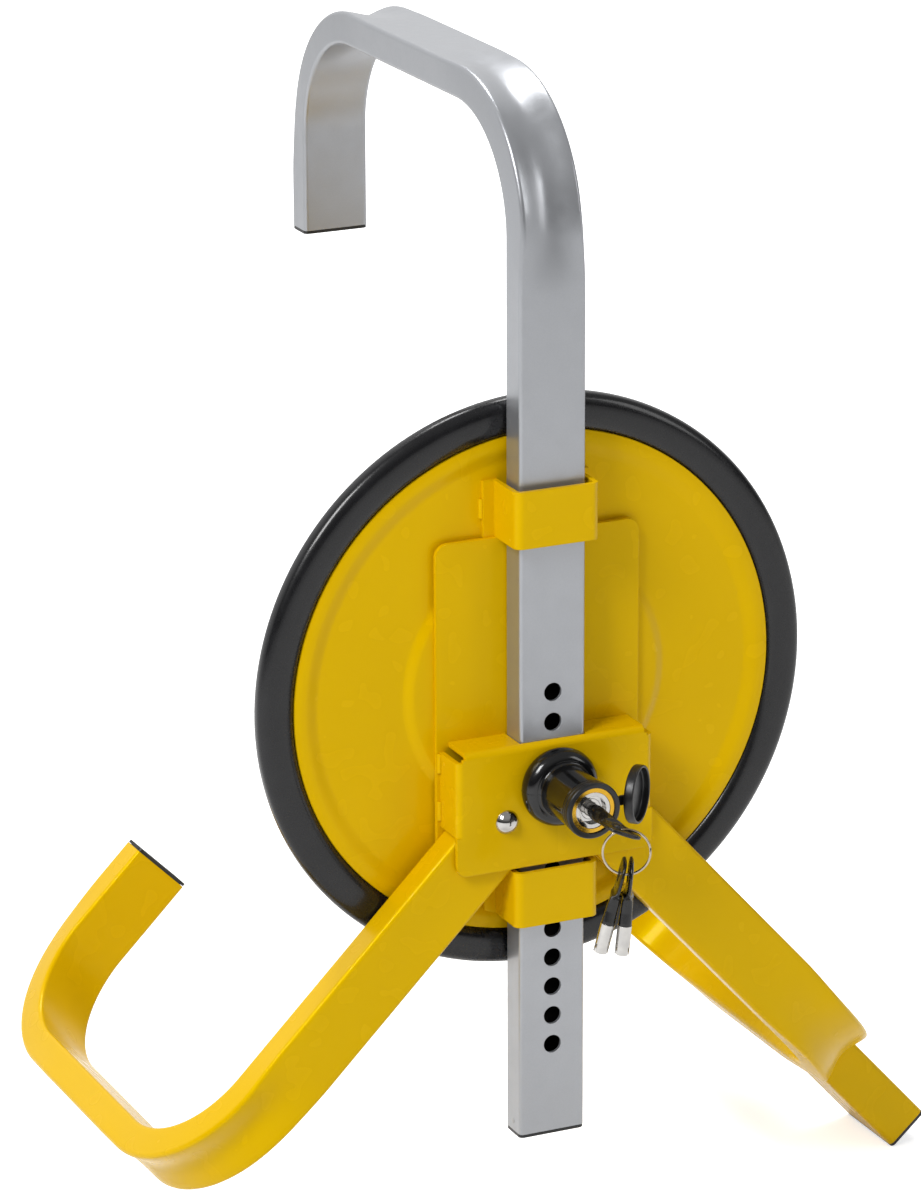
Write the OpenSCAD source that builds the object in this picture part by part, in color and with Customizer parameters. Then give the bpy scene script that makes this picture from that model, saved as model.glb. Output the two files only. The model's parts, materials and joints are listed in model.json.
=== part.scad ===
// Wheel clamp. A pressed disc with a rubber ring covers the wheel's face. A hooked bar slides down
// behind the tyre's top, two fixed hooked arms reach round it below, and a push lock holds the bar.
// Origin: centre of the ring's wheel-side face. +Y points to the wheel, -Y to the user, +Z up.
// Depths called "front" are measured forward of the ring's wheel-side face, so they lie along -Y.

/* [Disc and ring] */
// Inner radius of the rubber ring's lip
ring_inner_r = 153; // [145:1:158]
// Width of the rubber ring, from its lip to its outer side
ring_width = 19; // [17:0.5:26]
// Depth of the rubber ring, front to back
ring_depth = 19; // [17:0.5:22]
// Radius of the ring's shoulder, between its front and its outer side
ring_shoulder_r = 6; // [3:0.5:8]
// How far the disc's edge reaches into the ring
edge_grip = 12; // [8:0.5:14]
// Thickness of the disc's sheet
disc_sheet = 2; // [1.5:0.1:2.5]
// Front of the disc's raised middle
plateau_front = 18; // [17:0.5:21]
// Height of the raised middle above the field round it
plateau_step = 2.5; // [1:0.5:4]
// Radius of the raised middle
plateau_r = 80; // [70:1:95]
// Width of the slope round the raised middle
plateau_slope = 6; // [4:0.5:12]
// Width of the raised bead beside the ring
bead_width = 11; // [8:0.5:14]
// Height of the bead
bead_height = 2.9; // [1.5:0.1:4]

/* [Backing plate and straps] */
// Thickness of the backing plate
plate_sheet = 3; // [2:0.5:4]
// Width of the backing plate
plate_width = 131.7; // [128:0.1:150]
// Top edge of the backing plate above the disc's centre
plate_top = 93.8; // [70:0.1:110]
// Radius of the backing plate's corners
plate_corner = 8; // [3:0.5:12]
// Thickness of the straps' sheet
strap_sheet = 3; // [2:0.5:4]
// Height of each strap
strap_height = 34; // [24:1:40]
// Bottom edge of the upper strap above the disc's centre
upper_strap_z = 94; // [92:0.5:105]
// Gap between the lock housing and the lower strap
strap_gap = 2.2; // [1:0.1:6]
// Width of each strap's foot on the disc
strap_foot = 13; // [8:0.5:18]
// Play between a strap and the bar's front
strap_play = 2; // [1:0.1:4]
// Outer radius of the straps' front bends
strap_bend = 5; // [4:0.5:7]

/* [Lock housing] */
// Thickness of the housing's sheet
housing_sheet = 3; // [2:0.5:4]
// Width of the housing
housing_width = 127.6; // [116:0.1:127.6]
// Top of the housing, below the disc's centre
housing_top = 27.8; // [20:0.1:30]
// Height of the housing's front
housing_height = 73.9; // [72:0.1:90]
// Height of the housing's side walls
housing_side = 52; // [45:0.5:56]
// Radius of the housing's lower corners
housing_corner = 6; // [3:0.5:10]
// Outer radius of the housing's bends
housing_bend = 4; // [4:0.25:6]
// Width of the slit where two bends would meet
corner_slit = 1.5; // [1:0.25:3]
// Play between the housing and the bar's front
bar_play = 1.1; // [0.8:0.1:3]

/* [Bar and arms] */
// Width of the square-cornered steel tube
tube_width = 40; // [36:1:44]
// Depth of the tube
tube_depth = 20; // [16:1:24]
// Wall of the tube
tube_wall = 2; // [1.5:0.25:3]
// Outer corner radius of the tube
tube_corner = 3; // [2.5:0.25:4]
// Height of the bar's hook above the disc's centre
bar_top = 360.3; // [300:0.1:420]
// Foot of the bar below the disc's centre
bar_foot = 280.2; // [265:0.1:320]
// Depth of the bar's hook over its outside
hook_depth = 334.6; // [260:0.1:380]
// Length of the hook's return leg, from the hook's top
hook_drop = 153; // [130:1:220]
// Centreline radius of the hook's bends
hook_bend = 79; // [60:1:90]
// Radius of the bar's lock holes
hole_r = 5.6; // [5.5:0.05:6]
// Distance between the lock holes
hole_pitch = 18.6; // [16:0.1:22]
// Number of lock holes
hole_count = 13; // [11:1:14]
// Number of holes below the one at the lock
lock_hole = 9; // [8:1:10]
// Depth of the lock's axis below the housing's top
lock_depth = 26.9; // [25:0.1:32]
// Reach of an arm from its base point to the outside of its hook
arm_reach = 337; // [300:1:380]
// Depth of an arm's hook over its outside
arm_depth = 306.9; // [240:0.1:340]
// Length of an arm's return leg, from the outside of its hook
arm_drop = 145; // [120:1:200]
// Centreline radius of an arm's bends
arm_bend = 71; // [60:1:85]
// Slope of the left arm below level
left_slope = 45; // [43:0.5:48]
// Slope of the right arm below level
right_slope = 48; // [45:0.5:50]
// Height of the point below the disc's centre that the left arm points away from
left_base = 51; // [48:0.5:54]
// The same for the right arm
right_base = 47.3; // [45:0.1:50]
// Sideways place of the right arm's base point
right_base_x = 4.1; // [0:0.1:6]
// Gap between an arm's root and the bar
root_gap = 1; // [0.5:0.1:2]

/* [Spur] */
// Width of the spur's tube
spur_width = 30; // [24:1:34]
// Depth of the spur's tube, front to back
spur_depth = 60; // [50:1:70]
// Length of the spur from the right hook's outside
spur_length = 83; // [60:1:100]
// Front edge of the spur behind the ring's wheel-side face
spur_front = 26.7; // [20:0.1:40]

/* [Fasteners and caps] */
// Thickness of the plastic caps' heads
cap_head = 2; // [1:0.25:4]
// Length of the caps' plugs inside the tubes
cap_plug = 12; // [8:1:20]
// Radius of the rivets' shanks
rivet_r = 4; // [3:0.25:4.5]
// Radius of the rivets' domed heads
rivet_head_r = 7.4; // [6.5:0.1:8]
// Height of the rivets' domed heads
rivet_head_h = 4.5; // [3:0.25:6]
// Distance of each rivet from the middle
rivet_x = 31.5; // [30:0.5:34]
// Depth of the rivets below the disc's centre
rivet_z = 74; // [70:0.5:78]
// Leg of the weld beads
weld_leg = 2; // [1:0.25:2]
// Radius of the foot cap's small rivet
cap_rivet_r = 1.6; // [1.2:0.1:2]

/* [Lock] */
// Front of the lock's barrel ahead of the housing's front
barrel_length = 45.9; // [44:0.1:60]
// Outer radius of the barrel's sleeve
sleeve_r = 13.75; // [13:0.05:14.5]
// Radius of the shroud's base
shroud_base_r = 21.5; // [20:0.25:24]
// Radius of the shroud's waist
shroud_waist_r = 16.2; // [15.5:0.1:17]
// Outer radius of the rubber collar at the barrel's front
collar_r = 17.2; // [16.5:0.1:18]
// Length of the rubber collar
collar_length = 7.2; // [6:0.1:9]
// Radius of the sliding lock cylinder
cylinder_r = 11; // [10.5:0.1:11.5]
// Length of the lock cylinder
cylinder_length = 28; // [27:0.5:30]
// How far the cylinder is pushed in to lock
push_travel = 12; // [10:0.5:12.5]
// Radius of the lock bolt
bolt_r = 5.2; // [4.8:0.05:5.3]
// Radius of the turning key plug
plug_r = 6.2; // [5.8:0.1:6.8]
// Radius of the guide pin that stops the cylinder from turning
guide_r = 1.5; // [1.2:0.1:1.8]

/* [Keys] */
// Length of a key
key_length = 60; // [56:1:66]
// Length of a key's steel tube outside its grip
key_tube = 18; // [16:0.5:20]
// Outer radius of the key's tube
key_tube_r = 4.25; // [4:0.05:4.5]
// Wall of the key's tube
key_wall = 1; // [0.8:0.1:1.2]
// Depth of the key in the plug
key_depth = 5; // [4:0.5:6]
// Width of a key's bow
bow_width = 24; // [20:0.5:26]
// Length of a key's bow
bow_length = 22; // [20:0.5:24]
// Thickness of a key's bow
bow_thick = 3; // [2:0.25:3.5]
// Distance of the ring hole from the bow's end
bow_hole = 9; // [8.5:0.25:10]
// Turn of the key's bow from level
key_turn = 21; // [0:1:30]
// Radius of the key ring's centreline
split_ring_r = 14.25; // [13.75:0.25:15]
// Radius of the key ring's wire
wire_r = 0.75; // [0.6:0.05:0.8]
// Turn of the key ring's plane about the vertical
ring_yaw = 24.5; // [20:0.5:30]

/* [Dust cap] */
// Outer radius of the dust cap
dust_cap_r = 17.5; // [16.5:0.1:18.5]
// Depth of the dust cap
dust_cap_depth = 9; // [7:0.5:10]
// Wall of the dust cap
dust_cap_wall = 1.8; // [1.2:0.1:2.5]
// Turn of the open cap's mouth from sideways towards the user
dust_cap_yaw = 41; // [35:1:50]
// Distance from the lock's axis to the cap's strap fold
strap_fold = 20.4; // [20:0.1:21]
// Width of the cap's strap
cap_strap = 6; // [4:0.5:8]

/* [Clearances] */
// Gap between the sliding bar and what it slides past
slide_gap = 0.3; // [0.2:0.05:0.5]
// Radial gap of round parts that turn or slide in each other
run_fit = 0.1; // [0.05:0.01:0.1]
// Gap round parts that are fixed in each other
seat_fit = 0.1; // [0.05:0.01:0.2]

/* [Hidden] */
$fn = 96;
through = 1;
small_fn = 32;

ring_outer_r = ring_inner_r + ring_width;
edge_front = ring_depth / 2;
field_front = plateau_front - plateau_step;
edge_r = ring_inner_r + edge_grip;
bead_outer_r = ring_inner_r - 2;
plate_front = plateau_front + plate_sheet;
bar_back = plate_front + slide_gap;
bar_front = bar_back + tube_depth;
housing_front = bar_front + bar_play + housing_sheet;
housing_inside = housing_front - housing_sheet;
housing_bottom = housing_top + housing_height;
strap_front = bar_front + strap_play + strap_sheet;
strap_half = tube_width / 2 + slide_gap + strap_sheet;
lower_strap_z = -housing_bottom - strap_gap - strap_height;
lock_z = -housing_top - lock_depth;
first_hole = bar_foot + lock_z - lock_hole * hole_pitch;
root_x = tube_width / 2 + root_gap;
hook_end = bar_top - hook_drop;
arm_end = arm_reach - arm_drop;

barrel_front = housing_front + barrel_length;
sleeve_back = bar_front + 0.7;
sleeve_front = barrel_front - 1;
sleeve_bore = cylinder_r + run_fit;
sleeve_lip = 2;
lip_bore = bolt_r + 0.6;
cylinder_front = sleeve_front - 0.3;
cylinder_back = cylinder_front - cylinder_length;
bezel_wall = 2.5;
bezel_depth = 3;
plug_front = cylinder_front - bezel_depth;
plug_length = 17;
plug_bore = plug_r + run_fit;
bolt_socket = 6;
bolt_rest = bar_front + 0.4;
guide_front = cylinder_back + 4;
guide_depth = 2;
spring_r = 8;
spring_wire = 0.6;
spring_turns = 4.5;
shroud_dome = 10.5;
shroud_front = barrel_front - 0.5;
collar_back = barrel_front - collar_length;
collar_seat_r = 15.1;

key_start = plug_front - key_depth;
key_hole_front = key_start + key_length - bow_hole;
key_post_r = key_tube_r - key_wall - run_fit;
hole_throat = wire_r + 1.25;
hole_flare = hole_throat + 2 * (bow_thick / 2);
wire_slack = hole_throat - wire_r - 0.3;
bow_slope = atan(cos(ring_yaw) * tan(key_turn));
ring_rise = bow_thick / 2 + wire_r + 0.9;
ring_drop = split_ring_r - ring_rise;
ring_half = sqrt(pow(split_ring_r, 2) - pow(ring_drop, 2));
ring_centre_x = ring_half * cos(bow_slope) - ring_drop * sin(bow_slope);
ring_centre_z = -ring_half * sin(bow_slope) - ring_drop * cos(bow_slope);
spare_places = [[-12, 14], [9.5, 5.5]];

cap_face_r = 13.5;
cap_face_gap = 1.7;

// ---- shared shapes -------------------------------------------------------------------------

// Rectangle with round corners, centred on the origin.
module rounded_rect(width, height, corner) {
    square([width - 2 * corner, height], center = true);
    square([width, height - 2 * corner], center = true);
    for (x = [-1, 1], y = [-1, 1])
        translate([x * (width / 2 - corner), y * (height / 2 - corner)])
            circle(corner, $fn = small_fn);
}

// Turns a shape drawn upwards from the XY plane so that its height points to the user.
module facing() rotate([90, 0, 0]) children();

// Shape on the lock's axis whose height is measured forward of the ring's wheel-side face.
module on_lock_axis() translate([0, 0, lock_z]) facing() children();

// Round solid between two fronts on its own axis.
module shaft(r, back, front) translate([0, 0, back]) cylinder(r = r, h = front - back);

// Quarter of a bent tube, from level at its outer end up to its top.
module quarter_bend(width, depth, corner, radius)
    rotate([90, 0, 90])
        rotate_extrude(angle = 90) translate([radius, 0]) rounded_rect(depth, width, corner);

// Hook bent from a straight tube: a front leg up, a bridge to the back and a return leg down.
// reach and span are those of the centreline, and the front leg stands on the origin's axis.
module hook_run(width, depth, corner, from, reach, span, to, radius) {
    turn = reach - radius;
    translate([0, 0, from])
        linear_extrude(turn - from) rounded_rect(width, depth, corner);
    translate([0, radius, turn])
        mirror([0, 1, 0]) quarter_bend(width, depth, corner, radius);
    translate([0, radius, reach])
        rotate([-90, 0, 0]) linear_extrude(span - 2 * radius) rounded_rect(width, depth, corner);
    translate([0, span - radius, turn])
        quarter_bend(width, depth, corner, radius);
    translate([0, span, to])
        linear_extrude(turn - to) rounded_rect(width, depth, corner);
}

// Hollow hook: the same run with and without the tube's wall.
module hollow_hook(from, reach, span, to, radius) {
    difference() {
        hook_run(tube_width, tube_depth, tube_corner, from, reach, span, to, radius);
        hook_run(tube_width - 2 * tube_wall, tube_depth - 2 * tube_wall, tube_corner - tube_wall,
            from - through, reach, span, to - through, radius);
    }
}

// Plastic cap for a tube's end: a thin head below z = 0 and a plug that reaches up into the tube.
module tube_cap(width, depth) {
    translate([0, 0, -cap_head])
        linear_extrude(cap_head) rounded_rect(width, depth, tube_corner);
    gap = tube_wall + seat_fit;
    linear_extrude(cap_plug)
        rounded_rect(width - 2 * gap, depth - 2 * gap, tube_corner - tube_wall);
}

// ---- disc, ring and sheet parts ------------------------------------------------------------

// Height of the disc's front at radius r: the raised middle, its smooth slope, the field and bead.
function slope_at(t) = (1 + cos(180 * min(1, max(0, t)))) / 2;
function bead_at(t) = t < 0 || t > 1 ? 0 : pow(sin(180 * t), 2);
function disc_front(r) =
    field_front + plateau_step * slope_at((r - plateau_r) / plateau_slope)
    + bead_height * bead_at((r - bead_outer_r + bead_width) / bead_width);

slope_steps = [for (i = [0:6]) plateau_r + plateau_slope * i / 6];
bead_steps = [for (i = [0:12]) bead_outer_r - bead_width * (1 - i / 12)];
disc_steps = concat([0], slope_steps, bead_steps);
disc_wall_r = ring_inner_r - 0.4;

module disc_profile() {
    front = [for (r = disc_steps) [r, disc_front(r)]];
    back = [for (i = [len(disc_steps) - 1:-1:0]) [disc_steps[i], disc_front(disc_steps[i]) - disc_sheet]];
    polygon(concat(front,
        [[disc_wall_r, field_front - 1], [disc_wall_r, edge_front + disc_sheet / 2],
         [edge_r, edge_front + disc_sheet / 2], [edge_r, edge_front - disc_sheet / 2],
         [disc_wall_r - disc_sheet, edge_front - disc_sheet / 2],
         [disc_wall_r - disc_sheet, field_front - disc_sheet - 1]],
        [for (p = back) if (p[0] < disc_wall_r - disc_sheet - 1) p]));
}

module rivet_holes(back, front) {
    for (x = [-rivet_x, rivet_x])
        translate([x, 0, -rivet_z])
            facing() shaft(rivet_r + seat_fit, back, front);
}

module wheel_disc() color([0.84, 0.69, 0.02]) facing() rotate_extrude($fn = 180) disc_profile();

module ring_outline() {
    lip = ring_shoulder_r / 2;
    square_r = ring_outer_r - ring_shoulder_r;
    translate([ring_inner_r, 0]) square([square_r - ring_inner_r, ring_depth - lip]);
    translate([ring_inner_r + lip, 0]) square([square_r - ring_inner_r - lip, ring_depth]);
    translate([ring_inner_r + lip, ring_depth - lip]) circle(lip, $fn = small_fn);
    translate([square_r, lip]) square([ring_shoulder_r, ring_depth - ring_shoulder_r - lip]);
    translate([square_r, 0]) square([ring_shoulder_r - lip, ring_depth - ring_shoulder_r]);
    translate([ring_outer_r - lip, lip]) circle(lip, $fn = small_fn);
    translate([square_r, ring_depth - ring_shoulder_r]) circle(ring_shoulder_r, $fn = small_fn);
}

module rim_ring() color([0.16, 0.16, 0.17]) {
    facing() rotate_extrude($fn = 180) difference() {
        ring_outline();
        translate([ring_inner_r - through, edge_front - disc_sheet / 2])
            square([edge_grip + through + seat_fit, disc_sheet]);
    }
}

module backing_plate() color([0.80, 0.65, 0.02]) {
    height = plate_top + housing_bottom;
    difference() {
        translate([0, -plateau_front, (plate_top - housing_bottom) / 2])
            facing() linear_extrude(plate_sheet) rounded_rect(plate_width, height, plate_corner);
        rivet_holes(plateau_front - through, plate_front + through);
    }
}

// Sheet strap over the bar, seen from above: a front, two legs and two feet on the disc.
module strap_outline() {
    inner_bend = strap_bend - strap_sheet;
    leg_top = strap_front - strap_bend;
    difference() {
        union() {
            translate([-strap_half, field_front]) square([2 * strap_half, leg_top - field_front]);
            translate([-strap_half + strap_bend, field_front])
                square([2 * (strap_half - strap_bend), strap_front - field_front]);
            for (side = [-1, 1])
                translate([side * (strap_half - strap_bend), leg_top])
                    circle(strap_bend, $fn = small_fn);
        }
        inside = strap_half - strap_sheet;
        translate([-inside, field_front - through]) square([2 * inside, leg_top - field_front + through]);
        translate([-inside + inner_bend, field_front - through])
            square([2 * (inside - inner_bend), strap_front - strap_sheet - field_front + through]);
        for (side = [-1, 1])
            translate([side * (inside - inner_bend), leg_top]) circle(inner_bend, $fn = small_fn);
    }
    for (side = [-1, 1])
        translate([side > 0 ? strap_half - strap_sheet : -strap_half - strap_foot, field_front])
            square([strap_foot + strap_sheet, strap_sheet]);
}

module strap(bottom) {
    translate([0, 0, bottom]) linear_extrude(strap_height) mirror([0, 1]) strap_outline();
}

module upper_strap() color([0.86, 0.71, 0.02]) strap(upper_strap_z);

// The lower strap's corners are trimmed to the field inside the bead.
module lower_strap() color([0.86, 0.71, 0.02]) intersection() {
    strap(lower_strap_z);
    facing() shaft(bead_outer_r - bead_width, 0, strap_front + through);
}

// Quarter of a bent sheet along z, from the front face round to the left side.
module sheet_bend(length) {
    rotate_extrude(angle = 90)
        translate([housing_bend - housing_sheet, 0]) square([housing_sheet, length]);
}

module housing_shell() {
    half = housing_width / 2;
    bend_x = half - housing_bend;
    bend_z = -housing_top - housing_bend;
    side_bottom = -housing_top - housing_side;
    side_top = bend_z - corner_slit;
    wall_depth = housing_front - housing_bend - plate_front;
    translate([0, -housing_inside, 0]) facing() linear_extrude(housing_sheet) {
        translate([-bend_x, side_bottom]) square([2 * bend_x, bend_z - side_bottom]);
        translate([-half + housing_corner, -housing_bottom])
            square([2 * (half - housing_corner), side_bottom + housing_bottom]);
        translate([-half, -housing_bottom + housing_corner])
            square([2 * half, side_bottom + housing_bottom - housing_corner]);
        for (side = [-1, 1])
            translate([side * (half - housing_corner), -housing_bottom + housing_corner])
                circle(housing_corner, $fn = small_fn);
    }
    for (side = [0, 1]) mirror([side, 0, 0]) {
        translate([bend_x, housing_bend - housing_front, side_bottom])
            rotate([0, 0, -90]) sheet_bend(side_top - side_bottom);
        translate([half - housing_sheet, housing_bend - housing_front, side_bottom])
            cube([housing_sheet, wall_depth, side_top - side_bottom]);
    }
    translate([-bend_x + corner_slit, housing_bend - housing_front, bend_z])
        rotate([90, 0, 90]) rotate([0, 0, 90]) sheet_bend(2 * (bend_x - corner_slit));
    translate([-bend_x + corner_slit, housing_bend - housing_front, -housing_top - housing_sheet])
        cube([2 * (bend_x - corner_slit), wall_depth, housing_sheet]);
}

module lock_housing() color([0.80, 0.64, 0.02]) {
    notch = tube_width / 2 + slide_gap;
    difference() {
        housing_shell();
        translate([-notch, -bar_front - slide_gap, -housing_top - 2 * housing_bend])
            cube([2 * notch, tube_depth + 2 * slide_gap + through, 2 * housing_bend + through]);
        on_lock_axis() shaft(sleeve_r + seat_fit, housing_inside - through, housing_front + through);
        rivet_holes(housing_inside - through, housing_front + through);
    }
}

// ---- fixed arms ----------------------------------------------------------------------------

// Puts a shape in an arm's own frame: +Z runs out along the arm, from its base point.
module along_arm(side) {
    slope = side < 0 ? left_slope : right_slope;
    base_x = side < 0 ? 0 : right_base_x;
    base_z = side < 0 ? left_base : right_base;
    translate([base_x, -plate_front - tube_depth / 2, -base_z])
        rotate([0, side * (90 + slope), 0])
            children();
}

arm_centre_reach = arm_reach - tube_depth / 2;
arm_centre_span = arm_depth - tube_depth;

module arm(side) {
    difference() {
        along_arm(side)
            hollow_hook(0, arm_centre_reach, arm_centre_span, arm_end + cap_head, arm_bend);
        translate([side < 0 ? -root_x : root_x - 2 * bar_top, -bar_top, -bar_top])
            cube([2 * bar_top, 2 * bar_top, 2 * bar_top]);
        rivet_holes(plate_front - through, bar_front + through);
    }
}

module left_arm() color([0.84, 0.69, 0.02]) arm(-1);

module right_arm() color([0.80, 0.64, 0.02]) arm(1);

module arm_cap(side) {
    along_arm(side)
        translate([0, arm_centre_span, arm_end + cap_head]) tube_cap(tube_width, tube_depth);
}

module left_arm_cap() color([0.08, 0.08, 0.08]) arm_cap(-1);

module right_arm_cap() color([0.08, 0.08, 0.08]) arm_cap(1);

// Puts a shape on the spur's own axis: +Z runs out along the right arm.
module along_spur() {
    along_arm(1)
        translate([0, plate_front + tube_depth / 2 + spur_front + spur_depth / 2, 0])
            children();
}

// Short tube on the outside of the right hook, notched to the hook's bend.
module right_arm_spur() color([0.70, 0.52, 0.02]) {
    cope = 5;
    tube_end = arm_reach + spur_length - cap_head;
    difference() {
        along_spur()
            translate([0, 0, arm_reach - cope])
                linear_extrude(tube_end - arm_reach + cope)
                    difference() {
                        rounded_rect(spur_width, spur_depth, tube_corner);
                        rounded_rect(spur_width - 2 * tube_wall, spur_depth - 2 * tube_wall,
                            tube_corner - tube_wall);
                    }
        along_arm(1)
            hook_run(tube_width, tube_depth, tube_corner, arm_bend, arm_centre_reach,
                arm_centre_span, arm_end, arm_bend);
    }
}

module spur_cap() color([0.08, 0.08, 0.08]) {
    along_spur()
        translate([0, 0, arm_reach + spur_length - cap_head])
            rotate([180, 0, 0]) tube_cap(spur_width, spur_depth);
}

// ---- fasteners and welds -------------------------------------------------------------------

// Domed rivet head of a given radius and height, standing on z = 0.
module dome(r, h) {
    ball_r = (r * r + h * h) / (2 * h);
    intersection() {
        translate([0, 0, h - ball_r]) sphere(ball_r);
        cylinder(r = r + through, h = h + through);
    }
}

module arm_rivets() color([0.85, 0.85, 0.86]) {
    for (x = [-rivet_x, rivet_x])
        translate([x, 0, -rivet_z]) facing() {
            shaft(rivet_r, plateau_front, housing_front);
            translate([0, 0, housing_front]) dome(rivet_head_r, rivet_head_h);
        }
}

// Quarter-round bead along z in the corner between a face to the left and a face behind.
module bead(length) linear_extrude(length) intersection() {
    circle(weld_leg, $fn = small_fn);
    translate([0, -weld_leg]) square(weld_leg);
}

module weld_beads() color([0.82, 0.67, 0.02]) {
    bead_length = strap_height * 0.35;
    side_bottom = -housing_top - housing_side;
    foot_edge = strap_half + strap_foot;
    for (side = [0, 1]) mirror([side, 0, 0]) {
        for (share = [0.08, 0.65])
            translate([housing_width / 2, -plate_front, side_bottom + share * housing_side])
                bead(bead_length);
        for (z = [upper_strap_z, lower_strap_z])
            translate([foot_edge, -field_front, z + (strap_height - bead_length) / 2])
                bead(bead_length);
    }
}

// ---- barrel --------------------------------------------------------------------------------

module guide_hole(r, depth, bottom) {
    translate([0, -guide_front, lock_z]) mirror([0, 0, 1])
        translate([0, 0, bottom]) cylinder(r = r, h = depth);
}

module lock_sleeve() color([0.78, 0.62, 0.25]) {
    difference() {
        on_lock_axis() difference() {
            shaft(sleeve_r, sleeve_back, sleeve_front);
            shaft(sleeve_bore, sleeve_back + sleeve_lip, sleeve_front + through);
            shaft(lip_bore, sleeve_back - through, sleeve_front);
        }
        guide_hole(guide_r + 0.02, sleeve_r, cylinder_r - through);
    }
}

// Moulded shroud: a domed base that flows into a slightly waisted barrel.
module shroud_outline() {
    bore = sleeve_r + seat_fit;
    rim = 3.6;
    neck_r = 17.5;
    dome_points = [for (t = [0:10:90])
        [neck_r + (shroud_base_r - neck_r) * cos(t),
         housing_front + rim + (shroud_dome - rim) * sin(t)]];
    waist_start = housing_front + shroud_dome + 3;
    waist = collar_back - waist_start;
    waist_points = [for (i = [0:8])
        [shroud_waist_r + 0.6 * i / 8 - 0.4 * sin(22.5 * i), waist_start + waist * i / 8]];
    polygon(concat([[bore, housing_front], [shroud_base_r, housing_front]], dome_points, waist_points,
        [[collar_seat_r, collar_back], [collar_seat_r, shroud_front], [bore, shroud_front]]));
}

module lock_shroud() color([0.05, 0.05, 0.05]) {
    on_lock_axis() rotate_extrude() shroud_outline();
}

module guide_pin() color([0.6, 0.6, 0.6]) guide_hole(guide_r, sleeve_r - cylinder_r + guide_depth - 0.5,
    cylinder_r - guide_depth + 0.5);

// Rubber collar at the barrel's front, with the fixed half of the dust cap's strap.
module cap_tether() color([0.06, 0.06, 0.06]) {
    on_lock_axis() difference() {
        union() {
            shaft(collar_r, collar_back, barrel_front);
            translate([0, -cap_strap / 2, collar_back + 2])
                cube([strap_fold, cap_strap, 2]);
        }
        shaft(collar_seat_r + seat_fit, collar_back - through, barrel_front - 0.5);
        shaft(sleeve_r + seat_fit, collar_back - through, barrel_front + through);
    }
}

// ---- sliding bar ---------------------------------------------------------------------------

module lock_bar() color([0.66, 0.66, 0.67]) {
    difference() {
        translate([0, -bar_front + tube_depth / 2, 0])
            hollow_hook(-bar_foot + cap_head, bar_top - tube_depth / 2, hook_depth - tube_depth,
                hook_end + cap_head, hook_bend);
        for (i = [0:hole_count - 1])
            translate([0, 0, -bar_foot + first_hole + i * hole_pitch])
                facing() shaft(hole_r, bar_front - tube_wall - through, bar_front + through);
        translate([0, -(bar_front + bar_back) / 2, -bar_foot + cap_head + cap_plug / 2])
            rotate([0, -90, 0]) cylinder(r = cap_rivet_r + seat_fit, h = tube_width, $fn = small_fn);
    }
}

module hook_cap() color([0.08, 0.08, 0.08]) {
    translate([0, -bar_front - tube_depth / 2 + hook_depth, hook_end + cap_head])
        tube_cap(tube_width, tube_depth);
}

module bar_foot_cap() color([0.08, 0.08, 0.08]) {
    translate([0, -bar_front + tube_depth / 2, -bar_foot + cap_head])
        difference() {
            tube_cap(tube_width, tube_depth);
            translate([0, 0, cap_plug / 2]) rotate([0, -90, 0])
                cylinder(r = cap_rivet_r + seat_fit, h = tube_width, $fn = small_fn);
        }
}

module foot_cap_rivet() color([0.7, 0.7, 0.7]) {
    translate([0, -bar_front + tube_depth / 2, -bar_foot + cap_head + cap_plug / 2])
        rotate([0, -90, 0])
            cylinder(r = cap_rivet_r, h = tube_width / 2 + slide_gap / 2, $fn = small_fn);
}

// ---- lock cylinder and plug ----------------------------------------------------------------

module lock_cylinder() color([0.85, 0.85, 0.86]) {
    slot_width = guide_r + run_fit;
    difference() {
        on_lock_axis() difference() {
            shaft(cylinder_r, cylinder_back, cylinder_front);
            shaft(cylinder_r - bezel_wall, plug_front, cylinder_front + through);
            shaft(plug_bore, plug_front - plug_length - seat_fit, cylinder_front);
            shaft(bolt_r + seat_fit, cylinder_back - through, cylinder_back + bolt_socket);
        }
        for (travel = [0, push_travel])
            translate([0, -travel, 0]) guide_hole(slot_width, guide_depth + through, cylinder_r - guide_depth);
        translate([-slot_width, -guide_front - push_travel, lock_z - cylinder_r - through])
            cube([2 * slot_width, push_travel, guide_depth + through]);
    }
}

module lock_bolt() color([0.7, 0.7, 0.7]) {
    nose = 1;
    on_lock_axis() {
        shaft(bolt_r, bolt_rest + nose, cylinder_back + bolt_socket - seat_fit);
        translate([0, 0, bolt_rest]) cylinder(r1 = bolt_r - nose, r2 = bolt_r, h = nose);
    }
}

// Coil of round wire: rings of points along a helix, joined into one closed surface.
module plunger_spring() color([0.75, 0.75, 0.75]) {
    start = sleeve_back + sleeve_lip + spring_wire + 0.1;
    rise = cylinder_back - start - spring_wire - 0.1;
    sides = 8;
    steps = 20 * spring_turns;
    points = [for (i = [0:steps], k = [0:sides - 1])
        let (turn = 360 * spring_turns * i / steps, a = 360 * k / sides,
             r = spring_r + spring_wire * cos(a))
        [r * cos(turn), r * sin(turn), start + rise * i / steps + spring_wire * sin(a)]];
    walls = [for (i = [0:steps - 1], k = [0:sides - 1])
        let (next = (k + 1) % sides)
        [i * sides + k, (i + 1) * sides + k, (i + 1) * sides + next, i * sides + next]];
    near_end = [for (k = [0:sides - 1]) k];
    far_end = [for (k = [sides - 1:-1:0]) steps * sides + k];
    on_lock_axis() polyhedron(points, concat([near_end], walls, [far_end]));
}

module key_plug() color([0.80, 0.80, 0.82]) {
    on_lock_axis() difference() {
        shaft(plug_r, plug_front - plug_length, plug_front);
        difference() {
            shaft(key_tube_r + run_fit, key_start - 0.4, plug_front + through);
            shaft(key_post_r, key_start - through, plug_front + 2 * through);
        }
    }
}

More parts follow.
